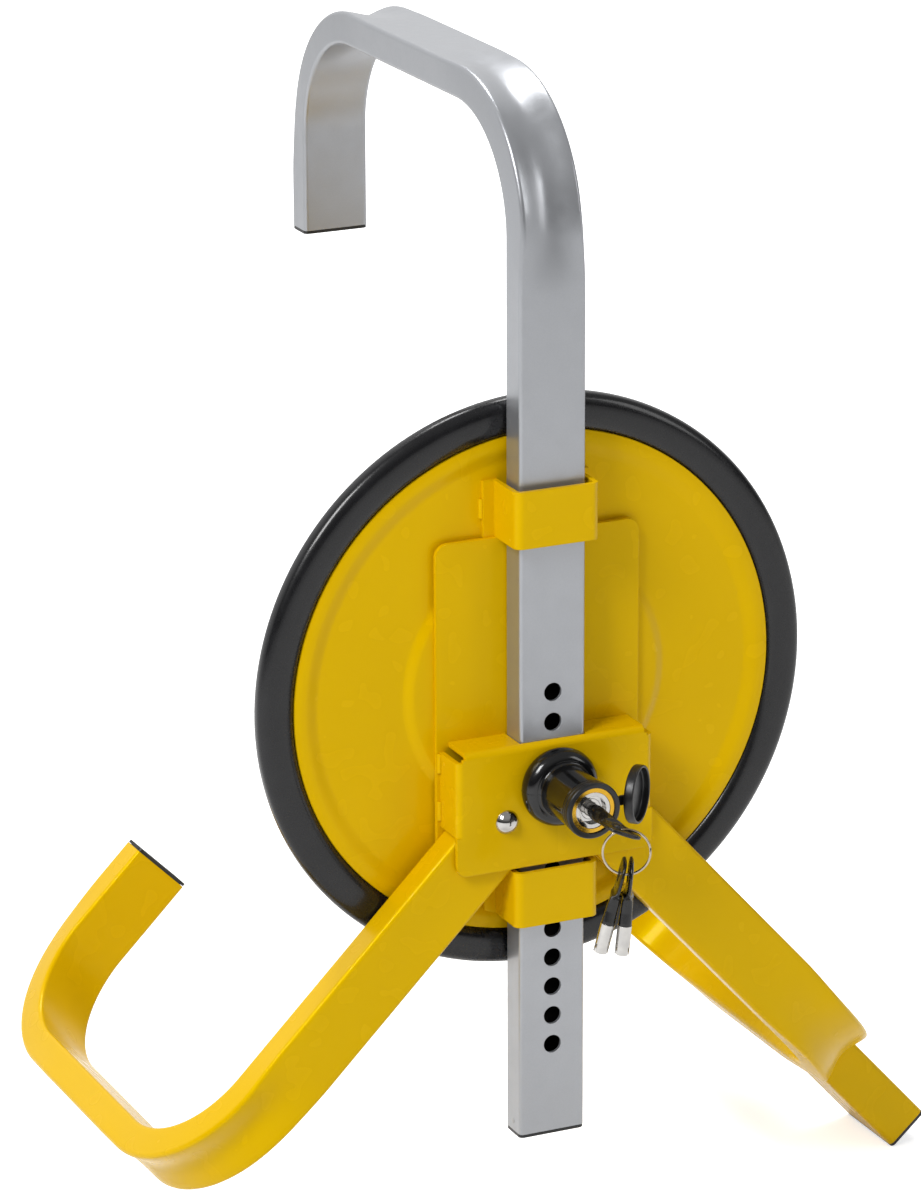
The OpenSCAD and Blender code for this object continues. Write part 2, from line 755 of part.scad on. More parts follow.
// ---- keys ----------------------------------------------------------------------------------
// A key stands on its tube's tip with its bow up, and its bow lies in the XZ plane.

tang_r = 2.2;
tang_length = 9;

module key_steel() {
    notch = 1.6;
    difference() {
        cylinder(r = key_tube_r, h = key_tube);
        translate([0, 0, -through]) cylinder(r = key_tube_r - key_wall, h = key_tube - 4 + through);
        for (turn = [0, 120, 240])
            rotate([0, 0, turn])
                translate([0, -notch / 2, -through]) cube([key_tube_r + through, notch, 5 + through]);
    }
    translate([0, 0, key_tube]) cylinder(r = tang_r, h = tang_length);
}

module key_grip() {
    bow_middle = key_length - bow_length / 2;
    hole_z = key_length - bow_hole;
    neck = key_length - bow_length - key_tube;
    difference() {
        union() {
            translate([0, 0, key_tube]) cylinder(r1 = key_tube_r, r2 = 3, h = neck);
            translate([0, 0, key_tube + neck]) cylinder(r1 = 3, r2 = bow_thick / 2, h = 4);
            translate([0, bow_thick / 2, bow_middle]) rotate([90, 0, 0])
                linear_extrude(bow_thick) rounded_rect(bow_width, bow_length, bow_length / 3);
        }
        translate([0, 0, key_tube - through]) cylinder(r = tang_r + seat_fit, h = tang_length + through);
        translate([0, 0, hole_z]) for (side = [-90, 90]) rotate([side, 0, 0])
            translate([0, 0, -0.01])
                cylinder(r1 = hole_throat, r2 = hole_flare, h = bow_thick / 2 + 0.02, $fn = 48);
    }
}

module in_lock() translate([0, -key_start, lock_z]) rotate([0, key_turn, 0]) facing() children();

module key_shaft() color([0.85, 0.85, 0.86]) in_lock() key_steel();

module key_bow() color([0.05, 0.05, 0.05]) in_lock() key_grip();

// Frame of the key ring: its origin is the wire's centre in the key's hole, and the ring lies in XZ.
module at_ring() translate([0, -key_hole_front, lock_z]) rotate([0, 0, -ring_yaw]) children();

module key_ring() color([0.80, 0.78, 0.72]) {
    at_ring() translate([ring_centre_x, 0, ring_centre_z]) rotate([90, 0, 0])
        rotate_extrude() translate([split_ring_r, 0]) circle(wire_r, $fn = small_fn);
}

// Puts a key on the ring: place gives the angle from the ring's bottom, and the key's own lean.
module on_ring(place) {
    at_ring()
        translate([ring_centre_x + split_ring_r * sin(place[0]), 0,
                   ring_centre_z - split_ring_r * cos(place[0])])
            rotate([0, place[1], 0])
                translate([0, 0, bow_hole - key_length - wire_slack])
                    rotate([0, 0, 90]) children();
}

module spare_key_a_shaft() color([0.85, 0.85, 0.86]) on_ring(spare_places[0]) key_steel();

module spare_key_a_bow() color([0.05, 0.05, 0.05]) on_ring(spare_places[0]) key_grip();

module spare_key_b_shaft() color([0.85, 0.85, 0.86]) on_ring(spare_places[1]) key_steel();

module spare_key_b_bow() color([0.05, 0.05, 0.05]) on_ring(spare_places[1]) key_grip();

// ---- dust cap ------------------------------------------------------------------------------

// Open cup whose closed face looks back to the barrel, with the moving half of its strap.
module dust_cap() color([0.06, 0.06, 0.06]) {
    strap_back = collar_back + 2;
    fold_gap = 0.8;
    strap_reach = 2.6;
    translate([0, 0, lock_z]) {
        translate([strap_fold + cap_face_r, -strap_back - cap_face_gap, 0])
            rotate([0, 0, -dust_cap_yaw]) rotate([0, 90, 0]) translate([0, 0, -dust_cap_depth]) {
                difference() {
                    cylinder(r = dust_cap_r, h = dust_cap_depth);
                    translate([0, 0, dust_cap_wall])
                        cylinder(r = dust_cap_r - dust_cap_wall, h = dust_cap_depth);
                }
            }
        translate([strap_fold + fold_gap, -strap_back - 2, -cap_strap / 2])
            cube([strap_reach, 2, cap_strap]);
    }
}

wheel_disc();
rim_ring();
backing_plate();
upper_strap();
lower_strap();
lock_housing();
left_arm();
right_arm();
right_arm_spur();
left_arm_cap();
right_arm_cap();
spur_cap();
arm_rivets();
weld_beads();
lock_sleeve();
lock_shroud();
guide_pin();
cap_tether();
lock_bar();
hook_cap();
bar_foot_cap();
foot_cap_rivet();
lock_cylinder();
lock_bolt();
plunger_spring();
key_plug();
key_shaft();
key_bow();
key_ring();
spare_key_a_shaft();
spare_key_a_bow();
spare_key_b_shaft();
spare_key_b_bow();
dust_cap();
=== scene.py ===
# %% [markdown]
# # Wheel clamp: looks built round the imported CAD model
#
# Every length is in metres, in the CAD frame: the origin is the middle of the ring's wheel-side
# face, +Y points to the wheel, the user stands on the -Y side and +Z is up. A depth called "front"
# is measured forward, so it lies at y = -front.

# %% Load the frame
import json
import math

import bpy
import numpy as np
from mathutils import Matrix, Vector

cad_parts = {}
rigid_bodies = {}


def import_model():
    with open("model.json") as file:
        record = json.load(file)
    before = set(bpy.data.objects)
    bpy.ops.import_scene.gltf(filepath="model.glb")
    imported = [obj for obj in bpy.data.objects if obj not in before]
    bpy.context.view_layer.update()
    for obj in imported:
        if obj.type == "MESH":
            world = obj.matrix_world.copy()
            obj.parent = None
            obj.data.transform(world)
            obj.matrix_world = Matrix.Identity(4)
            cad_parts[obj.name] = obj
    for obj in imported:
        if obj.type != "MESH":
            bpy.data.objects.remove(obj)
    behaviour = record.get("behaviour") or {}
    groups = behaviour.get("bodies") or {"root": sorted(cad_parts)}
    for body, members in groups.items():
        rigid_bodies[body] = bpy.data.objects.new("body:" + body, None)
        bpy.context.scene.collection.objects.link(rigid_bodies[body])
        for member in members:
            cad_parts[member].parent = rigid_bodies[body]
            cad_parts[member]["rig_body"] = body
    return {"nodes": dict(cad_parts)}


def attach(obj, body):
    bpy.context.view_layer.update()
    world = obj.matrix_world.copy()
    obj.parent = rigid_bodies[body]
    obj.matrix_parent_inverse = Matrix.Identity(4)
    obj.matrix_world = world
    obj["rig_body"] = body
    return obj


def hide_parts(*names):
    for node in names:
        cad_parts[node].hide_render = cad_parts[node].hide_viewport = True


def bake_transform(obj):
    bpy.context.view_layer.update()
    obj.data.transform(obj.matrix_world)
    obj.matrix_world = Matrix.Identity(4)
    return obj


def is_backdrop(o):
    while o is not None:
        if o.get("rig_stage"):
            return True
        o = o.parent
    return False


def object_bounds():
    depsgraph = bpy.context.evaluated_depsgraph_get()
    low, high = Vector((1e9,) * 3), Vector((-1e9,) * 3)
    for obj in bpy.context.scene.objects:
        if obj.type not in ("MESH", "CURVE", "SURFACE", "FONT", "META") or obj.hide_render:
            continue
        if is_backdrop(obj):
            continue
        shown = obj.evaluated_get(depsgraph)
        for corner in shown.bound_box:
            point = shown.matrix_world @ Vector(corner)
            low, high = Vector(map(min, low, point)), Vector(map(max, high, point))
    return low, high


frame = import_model()
cad_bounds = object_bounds()

# %% [markdown]
# ## Surfaces from grids of points
#
# Each new piece is a skin. numpy works out a whole grid of points P[u, v] at once, and neighbouring
# points make quads. A closed direction joins its last row to its first. A shape is then a formula
# with a few named sizes, which is easier to correct than a mesh that was pushed about by hand.

# %% Faces of a grid
MM = 0.001


def grid_faces(rows, columns, close_rows=False):
    """Quads (i, j), (i, j + 1), (i + 1, j + 1), (i + 1, j) of a rows x columns grid.

    The columns close on themselves, and the rows do so where close_rows is true.
    """
    i = np.arange(rows if close_rows else rows - 1)[:, None]
    j = np.arange(columns)[None, :]
    i2, j2 = (i + 1) % rows, (j + 1) % columns
    quads = np.stack([i * columns + j, i * columns + j2, i2 * columns + j2, i2 * columns + j], -1)
    return quads.reshape(-1, 4)


def capped_faces(rings, around, first=0):
    """Faces of a skin of rings with a flat face at each end. Its points start at index first."""
    last = first + (rings - 1) * around
    ends = [list(range(first, first + around))[::-1], list(range(last, last + around))]
    return (grid_faces(rings, around) + first).tolist() + ends


# %% [markdown]
# A mesh whose faces point inwards renders much the same, but a cut with it takes away the wrong
# side. The sign of a closed mesh's volume tells which way its faces point.

# %% New pieces
SHARP_ANGLE = 35  # degrees between faces, above which an edge stays crisp


def face_outward(mesh):
    """Flips a closed mesh whose volume, the sum of a . (b x c) / 6 over its triangles, is negative."""
    mesh.calc_loop_triangles()
    corners = np.empty(len(mesh.loop_triangles) * 3, np.int32)
    mesh.loop_triangles.foreach_get("vertices", corners)
    places = np.empty(len(mesh.vertices) * 3)
    mesh.vertices.foreach_get("co", places)
    a, b, c = places.reshape(-1, 3)[corners.reshape(-1, 3)].transpose(1, 0, 2)
    if np.einsum("ij,ij->i", a, np.cross(b, c)).sum() < 0:
        mesh.flip_normals()


def add_object(name, data):
    """A new object in the scene, made of data: a mesh, a lamp or a camera."""
    thing = bpy.data.objects.new(name, data)
    bpy.context.scene.collection.objects.link(thing)
    return thing


def new_piece(name, points, faces, finish, body):
    """A closed smooth mesh with crisp edges and one finish, riding a body. Its slot is its finish's."""
    mesh = bpy.data.meshes.new(name)
    mesh.from_pydata(np.asarray(points, float).reshape(-1, 3).tolist(), [], [list(f) for f in faces])
    mesh.validate()
    face_outward(mesh)
    mesh.shade_smooth()
    mesh.set_sharp_from_angle(angle=math.radians(SHARP_ANGLE))
    piece = add_object(name, mesh)
    mesh.materials.append(MATERIALS[finish])
    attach(piece, body)
    print(name + ":", len(mesh.polygons), "faces, on", body)
    return piece


def closed_tube(name, grid, finish, body):
    """A piece from a grid of rings, with a flat face at each end."""
    return new_piece(name, grid, capped_faces(*grid.shape[:2]), finish, body)


def closed_ring(name, grid, finish, body):
    """A piece from a grid that closes both ways, as a tyre does."""
    return new_piece(name, grid, grid_faces(*grid.shape[:2], close_rows=True), finish, body)


# %% [markdown]
# ## Materials
#
# No real surface is quite even. An image could be wrapped round each piece, but every piece would
# then have to be unrolled flat. Noise on object coordinates needs no unrolling and has a real size
# in millimetres, so each finish is one Principled shader with three layers of noise: one for its
# colour, one for its roughness and one for its height. Colours are written as sRGB hex and turned
# to linear values once.

# %% Colours and nodes
def linear(hex_colour):
    """sRGB hex to linear: c / 12.92 below 0.04045, else ((c + 0.055) / 1.055) ** 2.4."""
    c = np.array([int(hex_colour[i:i + 2], 16) / 255 for i in (0, 2, 4)])
    return tuple(np.where(c <= 0.04045, c / 12.92, ((c + 0.055) / 1.055) ** 2.4)) + (1.0,)


def add_node(tree, kind, inputs=None, **settings):
    """Adds a node, sets its properties, then its sockets from values or from other sockets."""
    node = tree.nodes.new(kind)
    for key, value in settings.items():
        setattr(node, key, value)
    for key, value in (inputs or {}).items():
        if isinstance(value, bpy.types.NodeSocket):
            tree.links.new(value, node.inputs[key])
        else:
            node.inputs[key].default_value = value
    return node


def new_material(name, **shader_inputs):
    """A Principled material, and its tree, shader and object coordinates."""
    material = bpy.data.materials.new(name)
    material.use_nodes = True
    tree = material.node_tree
    shader = tree.nodes["Principled BSDF"]
    for key, value in shader_inputs.items():
        shader.inputs[key.replace("_", " ")].default_value = value
    place = add_node(tree, "ShaderNodeTexCoord").outputs["Object"]
    return material, tree, shader, place


# %% A finish with three layers of noise
MIDDLE = (0.3, 0.7)  # most of a noise's values lie between these
EDGE_SAMPLES = 6


def new_finish(name, colours, roughness, layers, depth_mm, edge_mm=0.0, spread=MIDDLE, **shader_inputs):
    """Principled material whose colour, roughness and height follow a noise each.

    layers holds (size in mm, detail, share of each finer step) for colour, roughness and height.
    The colour runs from the first to the second of colours while its noise runs over spread, and
    the roughness does so over MIDDLE. The height is a bump of depth_mm, over edges that look
    rounded to edge_mm.
    """
    material, tree, shader, place = new_material(name, **shader_inputs)
    patches, smudges, grain = (
        add_node(tree, "ShaderNodeTexNoise", {"Vector": place, "Scale": 1000 / size_mm,
                                              "Detail": detail, "Roughness": finer}).outputs["Fac"]
        for size_mm, detail, finer in layers)
    colour = add_node(tree, "ShaderNodeValToRGB", {"Fac": patches})
    for element, position, hex_colour in zip(colour.color_ramp.elements, spread, colours):
        element.position, element.color = position, linear(hex_colour)
    rough = add_node(tree, "ShaderNodeMapRange", {
        "Value": smudges, "From Min": MIDDLE[0], "From Max": MIDDLE[1],
        "To Min": roughness[0], "To Max": roughness[1]})
    relief = {"Height": grain, "Strength": 1.0, "Distance": depth_mm * MM}
    if edge_mm:
        edge = add_node(tree, "ShaderNodeBevel", {"Radius": edge_mm * MM}, samples=EDGE_SAMPLES)
        relief["Normal"] = edge.outputs["Normal"]
    bump = add_node(tree, "ShaderNodeBump", relief)
    tree.links.new(colour.outputs["Color"], shader.inputs["Base Color"])
    tree.links.new(rough.outputs["Result"], shader.inputs["Roughness"])
    tree.links.new(bump.outputs["Normal"], shader.inputs["Normal"])
    return material


# %% [markdown]
# The pressed and folded steel has a polyester powder coat: dry powder is blown on and melts in an
# oven into one thick, even skin. It gives the eye a deep, slightly wavy gloss, called orange peel,
# about 1.6 mm across, and edges that look rounded because the skin creeps round them. Its gloss is
# tinted yellow, so that pale surroundings don't wash its colour out.
#
# The bar has a sprayed lacquer with aluminium flakes in it. They make it half metallic, with a fine
# sparkle. The real flakes are too small to see, so they are drawn 0.5 mm across.

# %% Powder coat and lacquer
PAINTS = {
    "yellow_paint": new_finish(
        "yellow_powder_coat", ("DBAE00", "DEB100"), (0.26, 0.275),
        ((60, 3, 0.5), (12, 0, 0.5), (1.6, 1, 0.5)), depth_mm=0.012, edge_mm=0.7, spread=(0.1, 0.9),
        Metallic=0.0, IOR=1.5, Coat_Weight=0.06, Coat_Roughness=0.05, Specular_Tint=(1, 0.9, 0.0, 1)),
    "silver_paint": new_finish(
        "silver_lacquer", ("A4A6AA", "ABADB1"), (0.30, 0.38),
        ((0.5, 4, 0.7), (9, 2, 0.5), (1.8, 1, 0.5)), depth_mm=0.008, edge_mm=0.4,
        Metallic=0.7, Coat_Weight=0.12, Coat_Roughness=0.12),
}
print("paints:", sorted(PAINTS))

# %% [markdown]
# Rubber and plastic take their surface from a steel mould. The ring is rubber with a thin satin
# bloom, so a weak coat lies over its dull body. The tubes' end caps are polyethylene, which stays
# dull. The lock's shroud is hard glossy plastic with long clear highlights and a slight ripple, and
# the keys' grips are the same plastic, a little duller from handling. The dust cap is soft rubber.


# %% Moulded rubber and plastics
def moulded(name, colours, roughness, grain_mm, depth_mm, edge_mm, **shader_inputs):
    """Colour that drifts over 14 mm, roughness that drifts over 5 mm, and the mould's grain."""
    layers = ((14, 3, 0.5), (5, 2, 0.5), (grain_mm, 2, 0.5))
    return new_finish(name, colours, roughness, layers, depth_mm, edge_mm, **shader_inputs)


# Each has its colours, its roughness, its grain's size and depth, and its edges' rounding, in mm.
MOULDED = {
    "ring_rubber": moulded("ring_rubber", ("121214", "18181A"), (0.24, 0.30), 0.9, 0.006, 0.4, IOR=1.5,
                           Specular_IOR_Level=0.30, Coat_Weight=0.25, Coat_Roughness=0.10),
    "cap_plastic": moulded("cap_plastic", ("121212", "181818"), (0.34, 0.42), 0.5, 0.01, 0.4, IOR=1.49),
    "shroud_plastic": moulded("shroud_plastic", ("0B0B0C", "111112"), (0.12, 0.18), 2.5, 0.006, 0.6,
                              IOR=1.52),
    "key_plastic": moulded("key_plastic", ("0A0A0B", "101011"), (0.22, 0.30), 0.8, 0.002, 0.3, IOR=1.5),
    "cap_rubber": moulded("cap_rubber", ("121213", "19191A"), (0.30, 0.40), 0.6, 0.01, 0.5, IOR=1.5),
}
print("moulded finishes:", sorted(MOULDED))

# %% [markdown]
# Rivets, lock cylinder, plug and keys are plated with bright chromium: almost a mirror, with soft
# smudges and a slight waviness from polishing. The sleeve is turned brass, the bolt and guide pin
# are plain turned steel, and the spring is drawn wire. The split ring is plated with nickel, which
# is warmer than chromium. The bar's inside is bare steel as it left the mill, drawn nearly black:
# a painted shade for the dark inside the hollow tube, which makes its lock holes look dark.


# %% Metals
def bare_metal(name, colours, roughness, wave_mm, depth_mm, edge_mm=0.0):
    """Colour that drifts over 6 mm, roughness that drifts over 3 mm, and slight waves."""
    layers = ((6, 3, 0.5), (3, 4, 0.5), (wave_mm, 2, 0.5))
    return new_finish(name, colours, roughness, layers, depth_mm, edge_mm, Metallic=1.0)


# Each has its colours, its roughness, its waves' length and depth, and its edges' rounding, in mm.
METALS = {
    "chrome_plate": bare_metal("chrome_plate", ("B6B4B2", "C6C4C0"), (0.05, 0.10), 6, 0.006, 0.3),
    "sleeve_brass": bare_metal("sleeve_brass", ("C99A2E", "D9AC3C"), (0.16, 0.24), 2, 0.004, 0.3),
    "plain_steel": bare_metal("plain_steel", ("9C9C9C", "ACACAC"), (0.25, 0.35), 1, 0.004, 0.2),
    # Painted shade: bare steel drawn nearly black, darker than real steel, for the shade inside the hollow
    # bar.
    "steel_inside_painted_shade": bare_metal("steel_inside_painted_shade", ("2A2623", "3A3531"), (0.55, 0.7), 2, 0.01),
    "spring_steel": bare_metal("spring_steel", ("9A9A9A", "ABABAB"), (0.25, 0.35), 1, 0.004),
    "ring_wire": bare_metal("ring_wire", ("A89C88", "BCB09A"), (0.10, 0.18), 3, 0.004),
}
MATERIALS = {**PAINTS, **MOULDED, **METALS}
print("metals:", sorted(METALS))

# %% [markdown]
# Each CAD node takes the finish of its slot, also where a new piece replaces it later.

# %% Materials of the CAD nodes
NODE_SLOTS = {
    "yellow_paint": "wheel_disc backing_plate upper_strap lower_strap lock_housing left_arm right_arm "
                    "right_arm_spur weld_beads",
    "silver_paint": "lock_bar",
    "ring_rubber": "rim_ring",
    "cap_plastic": "left_arm_cap right_arm_cap spur_cap hook_cap bar_foot_cap key_bow "
                   "spare_key_a_bow spare_key_b_bow",
    "shroud_plastic": "lock_shroud",
    "cap_rubber": "cap_tether dust_cap",
    "chrome_plate": "arm_rivets lock_cylinder key_plug key_shaft spare_key_a_shaft spare_key_b_shaft",
    "sleeve_brass": "lock_sleeve",
    "plain_steel": "lock_bolt guide_pin foot_cap_rivet",
    "spring_steel": "plunger_spring",
    "ring_wire": "key_ring",
}
for slot, names in NODE_SLOTS.items():
    for name in names.split():
        node = frame["nodes"][name]
        node.data.materials.clear()
        node.data.materials.append(MATERIALS[slot])
print("nodes with a material:", sum(len(n.split()) for n in NODE_SLOTS.values()), "of", len(frame["nodes"]))

# %% [markdown]
# ## Bent tubes
#
# Square-cornered steel tube that is bent cold changes at its bends: the outer wall sinks in and
# draws narrower, and the sides lean in towards it. A curve with a bevel profile could follow the
# same path, but it keeps one section all along. Here the section is worked out again at every step.
# A hook's centreline is a front leg, a bridge to the back and a return leg, with two quarter bends
# between them. At each point of the line, e is the outward direction in the hook's plane and x the
# direction across.

# %% Hook centreline
FADE_FROM, FADE_LENGTH = 0.03, 0.05  # a bend's change begins 30 mm before it and rises over 50 mm


def smooth(t):
    """3 t^2 - 2 t^3, clamped to 0..1."""
    t = np.clip(t, 0, 1)
    return t * t * (3 - 2 * t)


def straight_steps(length, step=0.006):
    """Number of points on a straight: one for each step, and 8 at least."""
    return max(8, int(length / step))


def hook_line(start, reach, span, end, radius, bend_steps=36):
    """Points (s along the leg, d to the back), outward angle a and bend share b along the hook.

    The front leg leaves s = start at d = 0, where a = 0 points away from the back. Each bend turns a
    by 90 degrees. The bridge stands at s = reach, and the return leg runs at d = span to s = end.
    b rises from 0, 30 mm before a bend, to 1, 20 mm into it, and falls in the same way after it.
    """
    turn = reach - radius
    out = np.linspace(start, turn, straight_steps(turn - start), endpoint=False)
    bridge = np.linspace(radius, span - radius, straight_steps(span - 2 * radius), endpoint=False)
    home = np.linspace(turn, end, straight_steps(turn - end))
    t = np.linspace(0, np.pi / 2, bend_steps, endpoint=False)
    s = np.concatenate([out, turn + radius * np.sin(t), np.full_like(bridge, reach),
                        turn + radius * np.cos(t), home])
    d = np.concatenate([np.zeros_like(out), radius - radius * np.cos(t), bridge,
                        span - radius + radius * np.sin(t), np.full_like(home, span)])
    a = np.concatenate([np.zeros_like(out), t, np.full_like(bridge, np.pi / 2), np.pi / 2 + t,
                        np.full_like(home, np.pi)])
    length = np.concatenate([[0], np.cumsum(np.hypot(np.diff(s), np.diff(d)))])
    b = np.zeros_like(s)
    for first in (len(out), len(out) + bend_steps + len(bridge)):
        rise = smooth((length - length[first] + FADE_FROM) / FADE_LENGTH)
        fall = smooth((length[first + bend_steps] + FADE_FROM - length) / FADE_LENGTH)
        b = np.maximum(b, rise * fall)
    return s, d, a, b


# %% [markdown]
# The tube's flat sides get many points, closer together towards the corners, because the sinking
# wall needs them.

# %% Tube section
WALL_SINK, WALL_PINCH = 0.0045, 0.10  # how deep the outer wall sinks, and how much narrower it draws
SINK_WIDTH, PINCH_POWER = 0.96, 1.5


def tube_section(width, depth, corner, flat_steps=14, corner_steps=6):
    """Points (x across, e outward) round a rectangle whose corners are rounded to corner."""
    x, e = [], []
    share = (1 - np.cos(np.pi * np.arange(1, flat_steps) / flat_steps)) / 2
    for k, (side_x, side_e) in enumerate(((1, 1), (-1, 1), (-1, -1), (1, -1))):
        t = np.linspace(0, np.pi / 2, corner_steps + 1) + k * np.pi / 2
        arc_x = side_x * (width / 2 - corner) + corner * np.cos(t)
        arc_e = side_e * (depth / 2 - corner) + corner * np.sin(t)
        next_x, next_e = (-arc_x[-1], arc_e[-1]) if k % 2 == 0 else (arc_x[-1], -arc_e[-1])
        x += [arc_x, arc_x[-1] + (next_x - arc_x[-1]) * share]
        e += [arc_e, arc_e[-1] + (next_e - arc_e[-1]) * share]
    return np.concatenate(x), np.concatenate(e)


def bent_section(x, e, b, width, depth):
    """Section at bend share b. q runs from 0 on the inner wall to 1 on the outer one.

    x shrinks by the share  WALL_PINCH b q^1.5.  e sinks by  WALL_SINK b q cos^2(0.96 pi x / width),
    which leaves the corners almost where they were.
    """
    q = np.clip((e + depth / 2) / depth, 0, 1)
    sink = WALL_SINK * b * np.cos(np.pi * x / width * SINK_WIDTH) ** 2
    return x * (1 - WALL_PINCH * b * q ** PINCH_POWER), e - sink * q


def tube_points(line, section, place, width, depth):
    """Grid of points of a bent tube. place turns (s, d, x) into the CAD frame."""
    s, d, a, b = (v[:, None] for v in line)
    x, e = bent_section(*section, b, width, depth)
    return place(s + e * np.sin(a), d - e * np.cos(a), x)


# %% Places of the three hooks
BAR_FRONT, BAR_BACK, ARM_MIDDLE = 0.0413, 0.0213, 0.031
TUBE_DEPTH, TUBE_CORNER, TUBE_WALL = 0.020, 0.0024, 0.002


def on_bar(s, d, x):
    """The bar stands along Z: s is up, d to the back, and x across."""
    return np.stack([x, -(BAR_FRONT + BAR_BACK) / 2 + d, s], -1)


def cos_sin(degrees):
    """Cosine and sine of an angle in degrees."""
    return math.cos(math.radians(degrees)), math.sin(math.radians(degrees))


def on_arm(slope, base_x, base_z, side, shift):
    """An arm runs out and down at slope degrees from its base point. +x is its upper side.

    X = base_x + side (s cos + x sin),  Y = d - 31 mm,  Z = base_z - s sin + x cos,  with x moved by
    shift.
    """
    c, k = cos_sin(slope)

    def place(s, d, x):
        x = x + shift
        return np.stack([base_x + side * (s * c + x * k), -ARM_MIDDLE + d, base_z - s * k + x * c], -1)
    return place


# %% [markdown]
# The bar is made solid first, and cut afterwards: a smaller run of the same tube takes its inside
# away, and a cylinder at each lock hole takes the front wall away. A Solidify modifier could give
# the wall, but the holes go through one side only and have to be cut anyway. The inside has its own
# nearly black steel, a painted shade for the dark inside the tube, because each cut leaves the
# cutter's material on the new faces.


# %% Cuts
def new_cutter(name, grids, finish):
    """Closed skins in one object that is used for a cut."""
    faces, first = [], 0
    for grid in grids:
        rings, around = grid.shape[:2]
        faces += capped_faces(rings, around, first)
        first += rings * around
    mesh = bpy.data.meshes.new(name)
    mesh.from_pydata(np.concatenate([grid.reshape(-1, 3) for grid in grids]).tolist(), [], faces)
    face_outward(mesh)
    mesh.materials.append(MATERIALS[finish])
    return add_object(name, mesh)


def cut_away(piece, cutters, sharp_angle):
    """Takes the cutters' volumes away from the piece, makes that its mesh, and removes the cutters."""
    for cutter in cutters:
        cut = piece.modifiers.new("cut", "BOOLEAN")
        cut.object, cut.operation, cut.solver, cut.material_mode = cutter, "DIFFERENCE", "EXACT", "TRANSFER"
    graph = bpy.context.evaluated_depsgraph_get()
    mesh = bpy.data.meshes.new_from_object(piece.evaluated_get(graph))
    piece.modifiers.clear()
    piece.data = mesh
    mesh.set_sharp_from_angle(angle=math.radians(sharp_angle))
    for cutter in cutters:
        bpy.data.objects.remove(cutter)
    print(piece.name + ":", len(mesh.polygons), "faces after its cuts")


# %% Sliding bar
BAR_WIDTH, BAR_FOOT, BAR_END = 0.0425, -0.2782, 0.2093
BAR_REACH, BAR_SPAN, BAR_BEND = 0.3503, 0.3146, 0.079
CUT_FOOT, CUT_END = -0.290, 0.200  # past the tube's two ends, so that the cut opens them

line = hook_line(BAR_FOOT, BAR_REACH, BAR_SPAN, BAR_END, BAR_BEND)
section = tube_section(BAR_WIDTH, TUBE_DEPTH, TUBE_CORNER)
bar = closed_tube("bar_tube", tube_points(line, section, on_bar, BAR_WIDTH, TUBE_DEPTH),
                  "silver_paint", "sliding_bar")
inside_width, inside_depth = BAR_WIDTH - 2 * TUBE_WALL, TUBE_DEPTH - 2 * TUBE_WALL
line = hook_line(CUT_FOOT, BAR_REACH, BAR_SPAN, CUT_END, BAR_BEND)
section = tube_section(inside_width, inside_depth, 0.001)
inside = tube_points(line, section, on_bar, inside_width, inside_depth)

# %% Its lock holes
HOLE_RADIUS, HOLE_STEP, HOLE_COUNT, LOWEST_HOLE = 0.0056, 0.0186, 13, -0.2221
turn = np.linspace(0, 2 * np.pi, 48, endpoint=False)
hole_ends = (-BAR_FRONT - 0.001, -BAR_FRONT + 0.004)  # from before the front wall to behind it
holes = [np.stack([np.stack([HOLE_RADIUS * np.cos(turn), np.full_like(turn, y),
                             z + HOLE_RADIUS * np.sin(turn)], -1) for y in hole_ends])
         for z in LOWEST_HOLE + HOLE_STEP * np.arange(HOLE_COUNT)]
# The inside cut puts the nearly black steel, a painted shade, on the tube's inner faces.
cut_away(bar, [new_cutter("inside_cut", [inside], "steel_inside_painted_shade"),
               new_cutter("hole_cut", holes, "silver_paint")], SHARP_ANGLE)
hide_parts("lock_bar")

# %% [markdown]
# Two hooks reach round the tyre's lower side. Each arm's root is sheared to the plane |X| = 22 mm
# beside the bar: its root point lies at s = (22 mm - side base_x - x sin) / cos. Each tube is a
# little wider than the plain solid, mostly on its upper side.

# %% Arms
ROOT_X = 0.022
ARM_START, ARM_SPAN, ARM_END, ARM_BEND = 0.055, 0.2869, 0.1943, 0.071
# Slope in degrees, base x, base z, side, width, shift to the upper side, and reach of each arm.
ARMS = {"left_arm": (45, 0, -0.051, -1, 0.0425, 0.00025, 0.3250),
        "right_arm": (48, 0.0041, -0.0473, 1, 0.0440, 0.0015, 0.327)}
for name, (slope, base_x, base_z, side, width, shift, reach) in ARMS.items():
    place = on_arm(slope, base_x, base_z, side, shift)
    x, e = tube_section(width, TUBE_DEPTH, TUBE_CORNER)
    c, k = cos_sin(slope)
    root = place((ROOT_X - side * base_x - (x + shift) * k) / c, -e, x)
    line = hook_line(ARM_START, reach, ARM_SPAN, ARM_END, ARM_BEND)
    grid = np.concatenate([root[None], tube_points(line, (x, e), place, width, TUBE_DEPTH)])
    arm = closed_tube(name + "_tube", grid, "yellow_paint", "clamp_body")
    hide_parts(name)

# %% [markdown]
# ## Turned and moulded parts
#
# The disc, its ring, the lock's shroud and the rubber cap are round. A Screw modifier would turn a
# drawn profile, but the shroud needs a ridge at two sides, so the whole surface is worked out: a
# profile of points (r, f) turned round an axis along Y gives P(r, f, t) = (r cos t, -f, z0 + r sin t).


# %% Turning helpers
def revolve(profile, z0=0.0, angles=None):
    """Grid of a profile [(r, front), ...] in metres, turned round the axis x = 0, z = z0."""
    t = np.linspace(0, 2 * np.pi, 192, endpoint=False) if angles is None else angles
    r, f = np.asarray(profile, float).T[:, :, None]
    return np.stack([r * np.cos(t), -f + 0 * t, z0 + r * np.sin(t)], -1)


